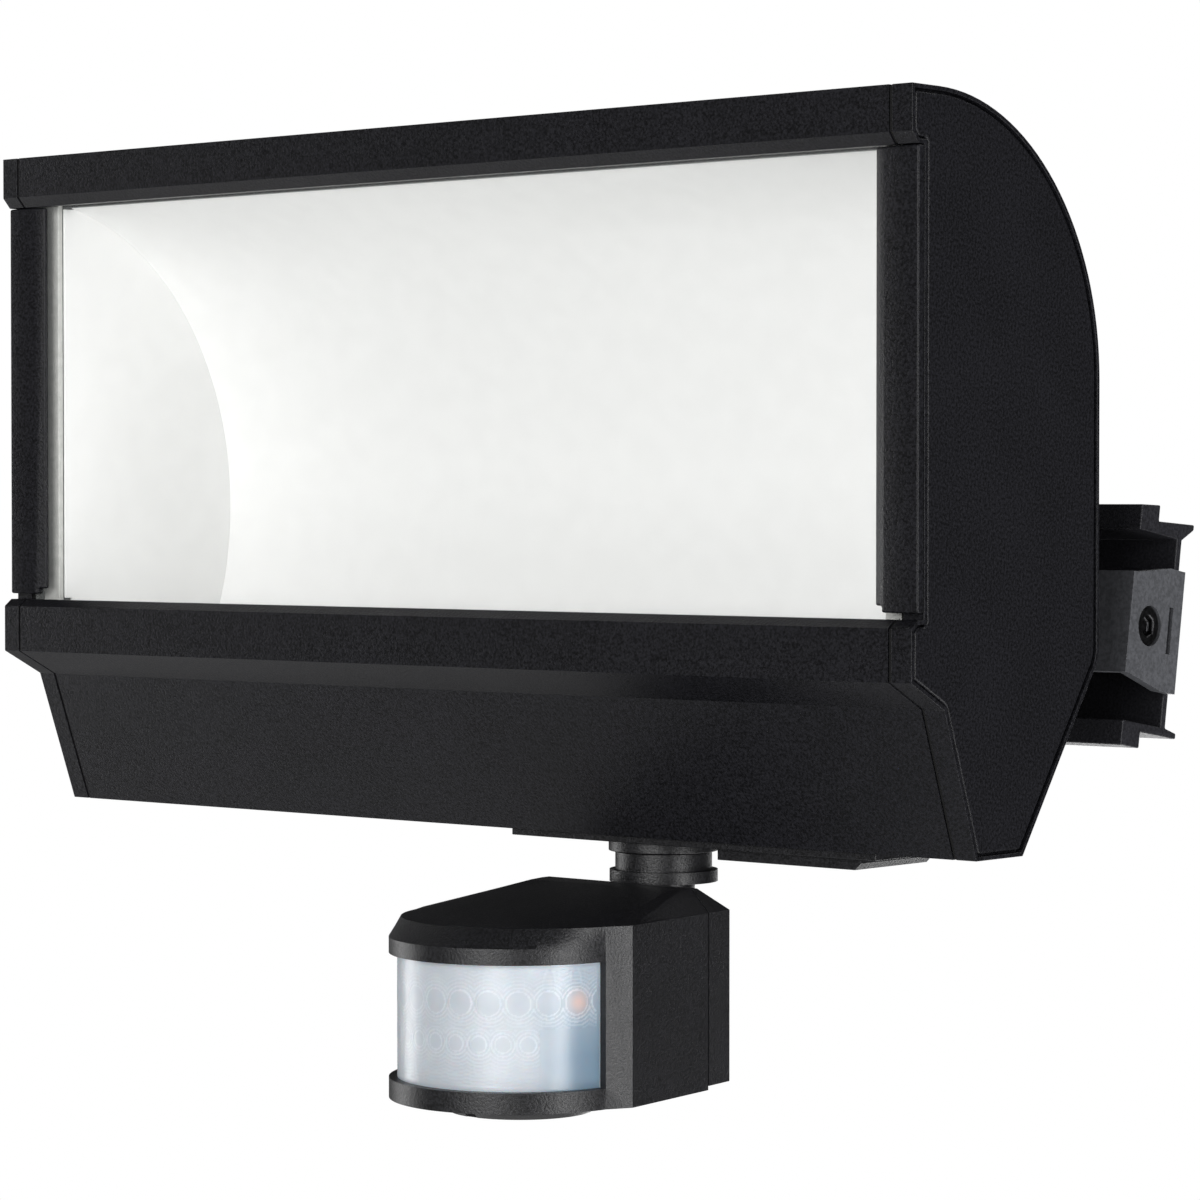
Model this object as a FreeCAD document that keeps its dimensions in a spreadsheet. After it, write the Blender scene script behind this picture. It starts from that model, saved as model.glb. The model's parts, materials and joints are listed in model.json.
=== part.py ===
import FreeCAD, Part
import math
import os
import re
import Sketcher

# A wall-mounted floodlight with a motion sensor hanging below it.
# Wall pieces stand in the row frame: the wall is the plane Y = 0, the front is -Y and up is +Z.
# Lamp and sensor pieces are drawn in the lamp's own frame, whose origin is the top front edge of the
# lamp's middle, and then placed with the lamp turned about the pivots by rest_tilt.

doc = FreeCAD.newDocument("Floodlight")

# ---------------------------------------------------------------- driving sizes (millimetres, degrees)
SIZES = {
    # lamp housing, depths measured back from the front and drops measured down from the top
    "lamp_width": 280.0,
    "lamp_height": 160.0,
    "lamp_depth": 68.3,
    "top_radius": 58.9,
    "back_drop": 119.0,
    "back_corner": 2.6,
    "bottom_back": 39.75,
    "bottom_front": 22.9,
    "slope_depth": 11.5,
    "slope_drop": 128.1,
    "band_bottom": 122.15,
    "band_top": 111.0,
    "mouth_depth": 2.14,
    "mouth_top": 12.1,
    "mouth_bottom": 109.3,
    "lip_drop": 9.7,
    "shell_wall": 1.9,
    "rib_wall": 2.0,
    "cap_thickness": 5.2,
    "seam_gasket": 0.8,
    "gasket_land": 2.3,
    "cap_rim": 0.9,
    "cover_gap": 0.45,
    "cover_thickness": 1.5,
    "cover_recess": 1.7,
    "port_radius": 3.2,
    "port_bore": 1.6,
    "port_length": 20.0,
    "cap_screw_radius": 1.55,
    "cap_screw_length": 18.0,
    "cap_screw_head": 3.0,
    # glass, its seal and the clamps at its ends
    "clamp_back": 4.34,
    "clamp_inner": 128.2,
    "clamp_flat": 131.4,
    "clamp_bevel": 1.3,
    "clamp_foot_gap": 1.4,
    "clamp_notch_wide": 2.2,
    "clamp_notch_high": 1.4,
    "glass_thickness": 3.0,
    "glass_cover": 4.0,
    "seal_thickness": 1.5,
    "seal_width": 5.7,
    # reflector: an elliptical trough between two end plates
    "trough_centre_depth": -1.0,
    "trough_centre_drop": 86.0,
    "trough_deep": 66.2,
    "trough_high": 75.0,
    "trough_end": 127.0,
    "trough_bottom": 122.0,
    "sheet": 0.8,
    # light source and driver
    "bar_front": 17.0,
    "bar_back": 33.0,
    "bar_top": 125.0,
    "bar_base": 3.0,
    "bar_fin": 5.0,
    "bar_fin_thickness": 1.5,
    "bar_half": 122.0,
    "board_thickness": 1.6,
    "board_width": 14.0,
    "chip_size": 3.0,
    "chip_height": 0.7,
    "chip_pitch": 15.0,
    "driver_left": -112.0,
    "driver_length": 125.0,
    "driver_front": 25.5,
    "driver_depth": 12.5,
    "driver_height": 17.0,
    "driver_pad": 1.0,
    # pivot, wall rail and yoke
    "rest_tilt": 9.0,
    "pivot_depth": 103.7,
    "pivot_drop": 113.0,
    "pivot_standoff": 19.4,
    "rail_half": 127.0,
    "rail_depth": 22.2,
    "hook_depth": 7.5,
    "hook_half": 27.3,
    "fin_half": 23.6,
    "rail_wall": 2.0,
    "lip_tip": 1.3,
    "lip_rise": 2.3,
    "web_front": 6.6,
    "web_back": 4.6,
    "wall_hole_spacing": 150.0,
    "wall_hole_radius": 3.25,
    "wall_boss_radius": 8.0,
    "cable_hole_radius": 9.0,
    "lug_half": 5.4,
    "lug_thickness": 3.0,
    "lug_foot": 24.0,
    "lug_foot_half": 9.0,
    "rivet_radius": 2.0,
    "pin_radius": 4.55,
    "pin_clearance": 0.05,
    "pin_recess": 0.5,
    "pin_thread": 3.0,
    "nut_height": 5.0,
    "nut_across": 5.4,
    "yoke_gap": 0.5,
    "yoke_wall": 2.5,
    "yoke_half": 11.4,
    "ear_half": 14.0,
    "yoke_front": 8.2,
    "ear_flare": 6.6,
    "ear_rear": 12.7,
    "slit_behind": 8.3,
    "slit_half": 5.35,
    "slit_width": 1.6,
    "yoke_bolt_half": 35.0,
    "yoke_bolt_radius": 3.0,
    "yoke_hole_radius": 3.3,
    "mount_half": 50.0,
    "mount_flange": 4.0,
    "mount_flange_top": 62.0,
    "mount_flange_bottom": 116.3,
    "mount_body_top": 84.0,
    "mount_screw_half": 42.0,
    "mount_screw_radius": 2.5,
    "mount_screw_top": 67.0,
    "mount_screw_bottom": 111.0,
    # cable gland
    "gland_across": -85.0,
    "gland_radius": 8.0,
    "gland_hex": 11.0,
    "gland_hex_height": 5.0,
    "gland_dome": 9.5,
    "gland_dome_height": 10.0,
    "gland_bore": 3.6,
    "gland_nut_height": 3.5,
    # sensor base under the lamp
    "base_left": 8.74,
    "base_right": 113.0,
    "base_front": 24.0,
    "base_back": 54.0,
    "base_plate": 1.55,
    "entry_left": 68.0,
    "entry_right": 107.5,
    "entry_front": 26.0,
    "entry_back": 52.0,
    "entry_height": 2.5,
    "entry_bevel": 1.5,
    "entry_screw": 98.0,
    "entry_screw_depth": 47.0,
    "entry_screw_radius": 1.4,
    "entry_screw_length": 8.0,
    # swivel and neck
    "neck_across": 42.5,
    "neck_depth": 38.0,
    "ring_radius": 12.5,
    "ring_height": 2.5,
    "hub_radius": 12.2,
    "hub_clearance": 0.3,
    "hub_top": 150.0,
    "journal_radius": 7.95,
    "journal_clearance": 0.06,
    "axial_gap": 0.3,
    "waist_radius": 11.0,
    "waist_bottom": 168.3,
    "flange_radius": 12.3,
    "flange_bottom": 171.0,
    "column_radius": 7.1,
    "wire_bore": 3.5,
    "knuckle_drop": 190.0,
    "knuckle_half": 7.0,
    "swivel_nut_radius": 10.5,
    "swivel_nut_height": 3.5,
    # sensor head, across and depth measured from the neck's axis
    "lens_centre": 49.3,
    "lens_radius": 26.4,
    "rim_radius": 28.6,
    "lens_top": 182.9,
    "lens_bottom": 209.9,
    "rim_top": 179.4,
    "rim_bottom": 214.4,
    "head_bottom": 213.5,
    "side_top": 175.4,
    "cheek_across": 27.9,
    "cheek_depth": 52.5,
    "face_across": 30.7,
    "face_depth": 47.0,
    "seam_across": 26.7,
    "seam_depth": 16.6,
    "back_across": 25.4,
    "head_back": 7.6,
    "shoulder": 4.6,
    "ridge_top": 170.4,
    "ridge_across": 21.8,
    "ridge_front_across": 20.2,
    "ridge_front": 22.5,
    "ridge_back": 14.6,
    "head_wall": 2.0,
    "lens_wall": 1.0,
    "lens_end": 52.0,
    "lug_gap": 0.8,
    "head_lug": 3.0,
    "head_lug_half": 6.4,
    "tilt_screw_radius": 2.0,
    "tilt_clearance": 0.05,
    "disc_radius": 17.0,
    "disc_hole_radius": 14.0,
    "disc_height": 3.1,
    "disc_centre": 48.5,
    "disc_notch": 1.5,
    "dial_radius": 3.6,
    "dial_clearance": 0.08,
    "dial_depth": 3.0,
    "dial_ring": 9.0,
    "dial_slot": 1.0,
    "pot_size": 6.4,
    "pot_height": 3.6,
    "pyro_radius": 4.6,
    "pyro_height": 4.0,
    "sensor_board_depth": 36.0,
    "led_lamp_radius": 1.5,
    "cover_screw_across": 22.2,
    "cover_screw_radius": 1.2,
    "cover_screw_length": 14.0,
    "cover_post_radius": 2.8,
    "body_post_length": 8.0,
}

sheet = doc.addObject("Spreadsheet::Sheet", "Sizes")
for row, (alias, size) in enumerate(SIZES.items(), start=1):
    sheet.set(f"A{row}", alias)
    sheet.set(f"B{row}", repr(size))
    sheet.setAlias(f"B{row}", alias)
doc.recompute()


def bound(text):
    """The expression with each size's name pointing at its cell."""
    return re.sub(r"[A-Za-z_]\w*", lambda m: f"Sizes.{m[0]}" if m[0] in SIZES else m[0], str(text))


def number(text):
    """The expression's value with the present sizes."""
    result = sheet.evalExpression(bound(text))
    return float(getattr(result, "Value", result))


def bind(thing, prop, text):
    thing.setExpression(prop, bound(text))


# ---------------------------------------------------------------- small builders
AXIS_TURN = {
    "x": FreeCAD.Rotation(FreeCAD.Vector(0, 1, 0), 90),
    "y": FreeCAD.Rotation(FreeCAD.Vector(1, 0, 0), -90),
    "z": FreeCAD.Rotation(),
}
# A sketch on the YZ plane draws depth across and height up, and its normal is +X.
SIDE_TURN = FreeCAD.Rotation(FreeCAD.Vector(1, 1, 1), 120)


def move_to(thing, across, depth, height):
    for prop, text in (("x", across), ("y", depth), ("z", height)):
        bind(thing, f".Placement.Base.{prop}", text)


def box(name, x0, x1, y0, y1, z0, z1):
    piece = doc.addObject("Part::Box", name)
    for prop, low, high in (("Length", x0, x1), ("Width", y0, y1), ("Height", z0, z1)):
        bind(piece, prop, f"({high}) - ({low})")
    move_to(piece, x0, y0, z0)
    return piece


def rod(name, axis, radius, across, depth, height, length):
    """A cylinder that starts at the given point and runs along +axis."""
    piece = doc.addObject("Part::Cylinder", name)
    piece.Placement.Rotation = AXIS_TURN[axis]
    bind(piece, "Radius", radius)
    bind(piece, "Height", length)
    move_to(piece, across, depth, height)
    return piece


def cone(name, axis, radius_start, radius_end, across, depth, height, length):
    piece = doc.addObject("Part::Cone", name)
    piece.Placement.Rotation = AXIS_TURN[axis]
    bind(piece, "Radius1", radius_start)
    bind(piece, "Radius2", radius_end)
    bind(piece, "Height", length)
    move_to(piece, across, depth, height)
    return piece


def hexagon(name, axis, corner_radius, across, depth, height, length):
    piece = doc.addObject("Part::Prism", name)
    piece.Polygon = 6
    piece.Placement.Rotation = AXIS_TURN[axis]
    bind(piece, "Circumradius", corner_radius)
    bind(piece, "Height", length)
    move_to(piece, across, depth, height)
    return piece


def fuse(name, pieces):
    whole = doc.addObject("Part::MultiFuse", name)
    whole.Shapes = pieces
    return whole


def cut(name, base, tools):
    tool = tools[0] if len(tools) == 1 else fuse(name + "_tools", tools)
    rest = doc.addObject("Part::Cut", name)
    rest.Base = base
    rest.Tool = tool
    return rest


def common(name, first, second):
    shared = doc.addObject("Part::Common", name)
    shared.Base = first
    shared.Tool = second
    return shared


def group(name, pieces):
    whole = doc.addObject("Part::Compound", name)
    whole.Links = pieces
    return whole


def draw(sketch, points, circles=()):
    """Closed outline through points (across, up[, radius]); a point's radius bends the edge after it.

    A negative radius turns clockwise. Every point and radius is held by an expression.
    """
    places = [FreeCAD.Vector(number(p[0]), number(p[1]), 0) for p in points]
    count = len(points)
    starts = []
    for i, point in enumerate(points):
        a = places[i]
        b = places[(i + 1) % count]
        if len(point) == 2:
            sketch.addGeometry(Part.LineSegment(a, b), False)
            starts.append(1)
            continue
        radius = number(point[2])
        middle = (a + b) * 0.5
        along = (b - a).normalize()
        left = FreeCAD.Vector(-along.y, along.x, 0)
        half = a.distanceToPoint(b) / 2
        reach = math.sqrt(max(radius * radius - half * half, 0.0))
        centre = middle + left * math.copysign(reach, radius)
        first, last = (a, b) if radius > 0 else (b, a)
        begin = math.atan2(first.y - centre.y, first.x - centre.x)
        end = math.atan2(last.y - centre.y, last.x - centre.x)
        circle = Part.Circle(centre, FreeCAD.Vector(0, 0, 1), abs(radius))
        sketch.addGeometry(Part.ArcOfCircle(circle, begin, end), False)
        starts.append(1 if radius > 0 else 2)
    for i, point in enumerate(points):
        after = (i + 1) % count
        sketch.addConstraint(Sketcher.Constraint("Coincident", i, 3 - starts[i], after, starts[after]))
    for i, point in enumerate(points):
        for kind, text in (("DistanceX", point[0]), ("DistanceY", point[1])):
            made = sketch.addConstraint(Sketcher.Constraint(kind, -1, 1, i, starts[i], number(text)))
            bind(sketch, f"Constraints[{made}]", text)
        if len(point) == 3:
            made = sketch.addConstraint(Sketcher.Constraint("Radius", i, abs(number(point[2]))))
            bind(sketch, f"Constraints[{made}]", f"abs({point[2]})")
    for across, up, radius in circles:
        centre = FreeCAD.Vector(number(across), number(up), 0)
        ring = sketch.addGeometry(Part.Circle(centre, FreeCAD.Vector(0, 0, 1), number(radius)), False)
        for kind, text in (("DistanceX", across), ("DistanceY", up)):
            made = sketch.addConstraint(Sketcher.Constraint(kind, -1, 1, ring, 3, number(text)))
            bind(sketch, f"Constraints[{made}]", text)
        made = sketch.addConstraint(Sketcher.Constraint("Radius", ring, number(radius)))
        bind(sketch, f"Constraints[{made}]", radius)
    return sketch


def side_sketch(name, points):
    """A loose sketch on the YZ plane, for Part extrusions."""
    sketch = doc.addObject("Sketcher::SketchObject", name)
    sketch.Placement = FreeCAD.Placement(FreeCAD.Vector(), SIDE_TURN)
    return draw(sketch, points)


def slab(name, outline, x0, x1):
    """The YZ outline extruded along X from x0 to x1."""
    piece = doc.addObject("Part::Extrusion", name)
    piece.Base = outline
    piece.DirMode = "Custom"
    piece.Dir = FreeCAD.Vector(1, 0, 0)
    piece.Solid = True
    bind(piece, "LengthFwd", x1)
    bind(piece, "LengthRev", f"-({x0})")
    return piece


def inset(name, outline, distance):
    """The outline moved inwards by the distance, with sharp corners."""
    ring = doc.addObject("Part::Offset2D", name)
    ring.Source = outline
    ring.Mode = "Pipe"
    ring.Join = "Intersection"
    ring.Value = -number(distance)
    bind(ring, "Value", f"-({distance})")
    return ring


def origin_plane(body, role):
    return next(f for f in body.Origin.OriginFeatures if f.Role == role)


def sketch_on(body, name, role, offset, points, circles=()):
    sketch = body.newObject("Sketcher::SketchObject", name)
    sketch.AttachmentSupport = [(origin_plane(body, role), "")]
    sketch.MapMode = "FlatFace"
    bind(sketch, ".AttachmentOffset.Base.z", offset)
    return draw(sketch, points, circles)


def pad(body, name, role, offset, length, points, circles=()):
    sketch = sketch_on(body, name + "_sketch", role, offset, points, circles)
    feature = body.newObject("PartDesign::Pad", name)
    feature.Profile = sketch
    bind(feature, "Length", length)
    body.Tip = feature
    return feature


def new_body(name):
    return doc.addObject("PartDesign::Body", name)


def prism(name, role, offset, length, points, circles=()):
    """A PartDesign body with one pad."""
    body = new_body(name)
    pad(body, name + "_pad", role, offset, length, points, circles)
    return body


def lofted(name, foot, head):
    """A PartDesign body lofted straight between two level outlines, each given as (height, points)."""
    body = new_body(name)
    low = sketch_on(body, f"{name}_foot", "XY_Plane", *foot)
    high = sketch_on(body, f"{name}_head", "XY_Plane", *head)
    feature = body.newObject("PartDesign::AdditiveLoft", f"{name}_loft")
    feature.Profile = low
    feature.Sections = [high]
    feature.Ruled = True
    body.Tip = feature
    return body


def revolved(name, points):
    """A PartDesign body turned about the Z axis from a half profile of (radius, height) points."""
    body = new_body(name)
    sketch = sketch_on(body, name + "_sketch", "XZ_Plane", "0", points)
    feature = body.newObject("PartDesign::Revolution", name + "_turn")
    feature.Profile = sketch
    feature.ReferenceAxis = (sketch, ["V_Axis"])
    feature.Angle = 360
    body.Tip = feature
    return body


def pan_screw(name, axis, sign, radius, length, across, depth, height):
    """A pan-head screw: its head's seat is at the given point and its shank runs along sign * axis."""
    head_height = f"1.2 * ({radius})"
    places = {"x": across, "y": depth, "z": height}
    head_places = dict(places)
    shank_places = dict(places)
    if sign > 0:
        head_places[axis] = f"({places[axis]}) - {head_height}"
    else:
        shank_places[axis] = f"({places[axis]}) - ({length})"
    head = rod(name + "_head", axis, f"1.9 * ({radius})", *head_places.values(), head_height)
    shank = rod(name + "_shank", axis, radius, *shank_places.values(), length)
    screw = fuse(name, [head, shank])
    slot_places = dict(places)
    depth_of_slot = f"0.6 * ({radius})"
    if sign > 0:
        slot_places[axis] = f"({head_places[axis]}) - 0.01"
    else:
        slot_places[axis] = f"({places[axis]}) + {head_height} - {depth_of_slot}"
    recess = hexagon(name + "_recess", axis, f"0.8 * ({radius})", *slot_places.values(),
                     f"{depth_of_slot} + 0.01")
    return cut(name + "_driven", screw, [recess])


# ---------------------------------------------------------------- nodes and where they stand
nodes = []


def keep_on_wall(label, piece):
    piece.Label = label
    nodes.append(piece)


def keep_on_lamp(label, piece):
    """Lean a lamp-frame piece with the lamp, about the pivots."""
    if piece.TypeId in ("Part::Box", "Part::Cylinder"):
        piece = group(f"{piece.Name}Placed", [piece])
    piece.Label = label
    piece.Placement = FreeCAD.Placement(FreeCAD.Vector(), FreeCAD.Rotation(FreeCAD.Vector(1, 0, 0), 1))
    bind(piece, ".Placement.Rotation.Angle", "rest_tilt")
    bind(piece, ".Placement.Base.y",
         "-pivot_standoff - pivot_depth * cos(rest_tilt) - pivot_drop * sin(rest_tilt)")
    bind(piece, ".Placement.Base.z",
         "pivot_drop * cos(rest_tilt) - pivot_depth * sin(rest_tilt)")
    nodes.append(piece)


SIDES = (("left", -1), ("right", 1))


def span(sign, near, far):
    """The X range between two distances from the middle, on the side that sign gives."""
    return (near, far) if sign > 0 else (f"-({far})", f"-({near})")


# ---------------------------------------------------------------- wall rail
def rail_edge(way, rise):
    """One edge of the rail's profile, from its web round the hook to the lip; way is 1 above, -1 below."""
    inside = f"{way} * (fin_half - rail_wall)"
    return [
        ("-web_front", inside),
        ("-rail_depth", inside),
        ("-rail_depth", f"{way} * hook_half"),
        ("-rail_depth + hook_depth", f"{way} * (hook_half + 0.4 * ({rise}))"),
        ("-rail_depth + hook_depth", f"{way} * (fin_half + 0.4 * ({rise}))"),
        ("0", f"{way} * (fin_half + {rise})"),
        ("0", f"{way} * (fin_half + {rise} - lip_tip)"),
        ("-web_back", f"{way} * (fin_half - rail_wall)"),
    ]


def make_wall_rail():
    points = rail_edge(1, "lip_rise") + list(reversed(rail_edge(-1, "0")))
    profile = prism("RailProfile", "YZ_Plane", "-rail_half", "2 * rail_half", points)
    bosses = [
        rod(f"WallBoss{side}", "y", "wall_boss_radius", f"{sign} * wall_hole_spacing / 2", "-web_back",
            "0", "web_back")
        for side, sign in SIDES
    ]
    rail = fuse("RailWithBosses", [profile] + bosses)
    holes = [
        rod(f"WallHole{side}", "y", "wall_hole_radius", f"{sign} * wall_hole_spacing / 2",
            "-web_front - 1", "0", "web_front + 2")
        for side, sign in SIDES
    ]
    holes.append(rod("CableHole", "y", "cable_hole_radius", "0", "-web_front - 1", "0", "web_front + 2"))
    keep_on_wall("wall_rail", cut("WallRail", rail, holes))


def make_pivots():
    rivets = []
    nuts = []
    for side, sign in SIDES:
        x0, x1 = span(sign, "rail_half - lug_thickness", "rail_half")
        lug = fuse(f"LugBlank{side}", [
            box(f"LugPlate{side}", x0, x1, "-pivot_standoff", "-web_front", "-lug_half", "lug_half"),
            rod(f"LugEye{side}", "x", "lug_half", x0, "-pivot_standoff", "0", "lug_thickness"),
            box(f"LugFoot{side}", *span(sign, "rail_half - lug_foot", "rail_half"),
                "-web_front - lug_thickness", "-web_front", "-lug_foot_half", "lug_foot_half"),
        ])
        bore = rod(f"LugBore{side}", "x", "pin_thread", f"({x0}) - 1", "-pivot_standoff", "0",
                   "lug_thickness + 2")
        keep_on_wall(f"pivot_lug_{side}", cut(f"PivotLug{side}", lug, [bore]))
        thread = span(sign, "rail_half - lug_thickness - nut_height - 2", "rail_half")
        shoulder = span(sign, "rail_half", "rail_half + yoke_gap + yoke_wall - pin_recess")
        pin = fuse(f"PinBlank{side}", [
            rod(f"PinThread{side}", "x", "pin_thread", thread[0], "-pivot_standoff", "0",
                f"({thread[1]}) - ({thread[0]})"),
            rod(f"PinShoulder{side}", "x", "pin_radius", shoulder[0], "-pivot_standoff", "0",
                f"({shoulder[1]}) - ({shoulder[0]})"),
        ])
        drive_start = f"({shoulder[1]}) - 1.6" if sign > 0 else f"({shoulder[0]}) - 1"
        drive = hexagon(f"PinDrive{side}", "x", "0.55 * pin_radius", drive_start, "-pivot_standoff", "0",
                        "2.6")
        keep_on_wall(f"pivot_pin_{side}", cut(f"PivotPin{side}", pin, [drive]))
        nut_span = span(sign, "rail_half - lug_thickness - nut_height", "rail_half - lug_thickness")
        nuts.append(cut(f"PivotNut{side}", hexagon(
            f"PivotNutHex{side}", "x", "nut_across", nut_span[0], "-pivot_standoff", "0", "nut_height"),
            [rod(f"PivotNutBore{side}", "x", "pin_thread", f"({nut_span[0]}) - 1", "-pivot_standoff", "0",
                 "nut_height + 2")]))
        for step, share in enumerate((0.45, 0.8)):
            rivets.append(rod(f"LugRivet{side}{step}", "y", "rivet_radius",
                              f"{sign} * (rail_half - lug_thickness - {share} * (lug_foot - lug_thickness))",
                              "-web_front - lug_thickness - 0.6", "0", "0.6"))
    keep_on_wall("pivot_nuts", group("PivotNuts", nuts))
    keep_on_wall("lug_rivet_heads", group("LugRivets", rivets))


# ---------------------------------------------------------------- yoke (it leans with the lamp's joint)
def make_yoke():
    front = "-pivot_standoff - yoke_front"
    ear_inner = "rail_half + yoke_gap"
    ear_outer = "rail_half + yoke_gap + yoke_wall"
    web = prism("YokeWeb", "XZ_Plane", "pivot_standoff + yoke_front - yoke_wall", "yoke_wall", [
        (f"-({ear_outer})", "-yoke_half"),
        (ear_outer, "-yoke_half"),
        (ear_outer, "yoke_half"),
        (f"-({ear_outer})", "yoke_half"),
    ], [(f"{sign} * yoke_bolt_half", "0", "yoke_hole_radius") for side, sign in SIDES])
    ears = []
    for side, sign in SIDES:
        x0, x1 = span(sign, ear_inner, ear_outer)
        ears.append(prism(f"YokeEar{side}", "YZ_Plane", x0, "yoke_wall", [
            (front, "-yoke_half"),
            ("-pivot_standoff - ear_flare", "-yoke_half"),
            ("-pivot_standoff + ear_flare", "-ear_half"),
            ("-pivot_standoff + ear_rear", "-ear_half"),
            ("-pivot_standoff + ear_rear", "ear_half"),
            ("-pivot_standoff + ear_flare", "ear_half"),
            ("-pivot_standoff - ear_flare", "yoke_half"),
            (front, "yoke_half"),
        ], [("-pivot_standoff", "0", "pin_radius + pin_clearance")]))
    blank = fuse("YokeBlank", [web] + ears)
    slits = [
        box(f"YokeSlit{side}", *span(sign, f"{ear_inner} - 1", f"{ear_outer} + 1"),
            "-pivot_standoff + slit_behind - slit_width / 2",
            "-pivot_standoff + slit_behind + slit_width / 2",
            "-slit_half", "slit_half")
        for side, sign in SIDES
    ]
    keep_on_wall("yoke", cut("Yoke", blank, slits))
    bolts = []
    for side, sign in SIDES:
        bolts.append(pan_screw(f"YokeBolt{side}", "y", -1, "yoke_bolt_radius", "16",
                               f"{sign} * yoke_bolt_half",
                               "-pivot_standoff - yoke_front + yoke_wall", "0"))
    keep_on_wall("yoke_bolts", group("YokeBolts", bolts))


# Points given behind and above the pivot in the row's directions, seen from the lamp's frame.
def leaned(behind, above):
    return (f"pivot_depth + ({behind}) * cos(rest_tilt) + ({above}) * sin(rest_tilt)",
            f"-pivot_drop - ({behind}) * sin(rest_tilt) + ({above}) * cos(rest_tilt)")


def make_rear_mount():
    body = new_body("RearMount")
    pad(body, "RearMountFlange", "YZ_Plane", "-mount_half", "2 * mount_half", [
        ("lamp_depth", "-mount_flange_bottom"),
        leaned("-yoke_front", "-yoke_half"),
        leaned("-yoke_front", "yoke_half"),
        ("lamp_depth + mount_flange", "-mount_body_top"),
        ("lamp_depth + mount_flange", "-mount_flange_top"),
        ("lamp_depth", "-mount_flange_top"),
    ])
    tools = []
    screws = []
    for side, sign in SIDES:
        bore = rod(f"MountBore{side}", "z", "yoke_bolt_radius", f"{sign} * yoke_bolt_half", "0", "0", "16")
        bore.Placement.Rotation = FreeCAD.Rotation(FreeCAD.Vector(1, 0, 0), 1)
        bind(bore, ".Placement.Rotation.Angle", "90 - rest_tilt")
        mouth = leaned("-yoke_front", "0")
        bind(bore, ".Placement.Base.y", mouth[0])
        bind(bore, ".Placement.Base.z", mouth[1])
        tools.append(bore)
        for level in ("top", "bottom"):
            drop = f"mount_screw_{level}"
            tools.append(rod(f"MountHole{side}{level}", "y", "mount_screw_radius",
                             f"{sign} * mount_screw_half", "lamp_depth - 1", f"-{drop}",
                             "mount_flange + 40"))
            if level == "bottom":
                tools.append(rod(f"MountWell{side}", "y", "2.2 * mount_screw_radius",
                                 f"{sign} * mount_screw_half", "lamp_depth + mount_flange", f"-{drop}",
                                 "40"))
            screws.append(pan_screw(f"MountScrew{side}{level}", "y", -1, "mount_screw_radius",
                                    "mount_flange + shell_wall + 1", f"{sign} * mount_screw_half",
                                    "lamp_depth + mount_flange", f"-{drop}"))
    keep_on_lamp("rear_mount", cut("RearMountBlock", body, tools))
    keep_on_lamp("rear_mount_screws", group("RearMountScrews", screws))


# ---------------------------------------------------------------- lamp housing
CHAMFER = "hypot(lamp_depth - bottom_back; lamp_height - back_drop)"
CHAMFER_TURN = "atan((lamp_depth - bottom_back) / (lamp_height - back_drop))"
SHELL_END = "(lamp_width / 2 - cap_thickness - seam_gasket)"
CAP_INNER = "(lamp_width / 2 - cap_thickness)"
CAP_OUTER = "(lamp_width / 2)"

lamp_outline = side_sketch("LampOutline", [
    ("0", "-lip_drop"),
    ("0", "0"),
    ("lamp_depth - top_radius", "0", "-top_radius"),
    ("lamp_depth", "-top_radius"),
    ("lamp_depth", "-back_drop + back_corner", f"-back_corner / tan({CHAMFER_TURN} / 2)"),
    (f"lamp_depth - back_corner * (lamp_depth - bottom_back) / {CHAMFER}",
     f"-back_drop - back_corner * (lamp_height - back_drop) / {CHAMFER}"),
    ("bottom_back", "-lamp_height"),
    ("bottom_front", "-lamp_height"),
    ("slope_depth", "-slope_drop"),
    ("0", "-band_bottom"),
    ("0", "-band_top"),
    ("mouth_depth", "-mouth_bottom"),
    ("clamp_back", "-mouth_bottom"),
    ("clamp_back", "-mouth_top"),
    ("mouth_depth", "-mouth_top"),
])
GLASS_FRONT = "clamp_back"
GLASS_BACK = "clamp_back + glass_thickness"
RIB_FRONT = "clamp_back + glass_thickness + seal_thickness"
RIB_BACK = f"{RIB_FRONT} + rib_wall"
GLASS_TOP = "-(mouth_top - glass_cover)"
GLASS_BOTTOM = "-(mouth_bottom + glass_cover)"

# Screw ports for the end caps: (name, depth, height).
PORT_IN = "(shell_wall + port_radius - 0.6)"
PORTS = [
    ("top", f"{RIB_BACK} + port_radius + 0.5", f"-{PORT_IN}"),
    ("crown", f"lamp_depth - top_radius + (top_radius - {PORT_IN}) * sin(45)",
     f"-top_radius + (top_radius - {PORT_IN}) * cos(45)"),
    ("heel", f"(lamp_depth + bottom_back) / 2 - {PORT_IN} * (lamp_height - back_drop) / {CHAMFER}",
     f"-(lamp_height + back_drop) / 2 + {PORT_IN} * (lamp_depth - bottom_back) / {CHAMFER}"),
    ("floor", "bottom_front + port_radius - 0.5", f"-lamp_height + {PORT_IN}"),
    ("chin", f"{RIB_FRONT} - port_radius", f"{GLASS_BOTTOM} - rib_wall - port_radius + 0.4"),
]


def chamfer_point(share, out):
    """A point on the lower back chamfer: share of its length from the top, out from its face."""
    return (f"lamp_depth - {share} * (lamp_depth - bottom_back) + ({out}) * (lamp_height - back_drop) / {CHAMFER}",
            f"-back_drop - {share} * (lamp_height - back_drop) - ({out}) * (lamp_depth - bottom_back) / {CHAMFER}")


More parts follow.
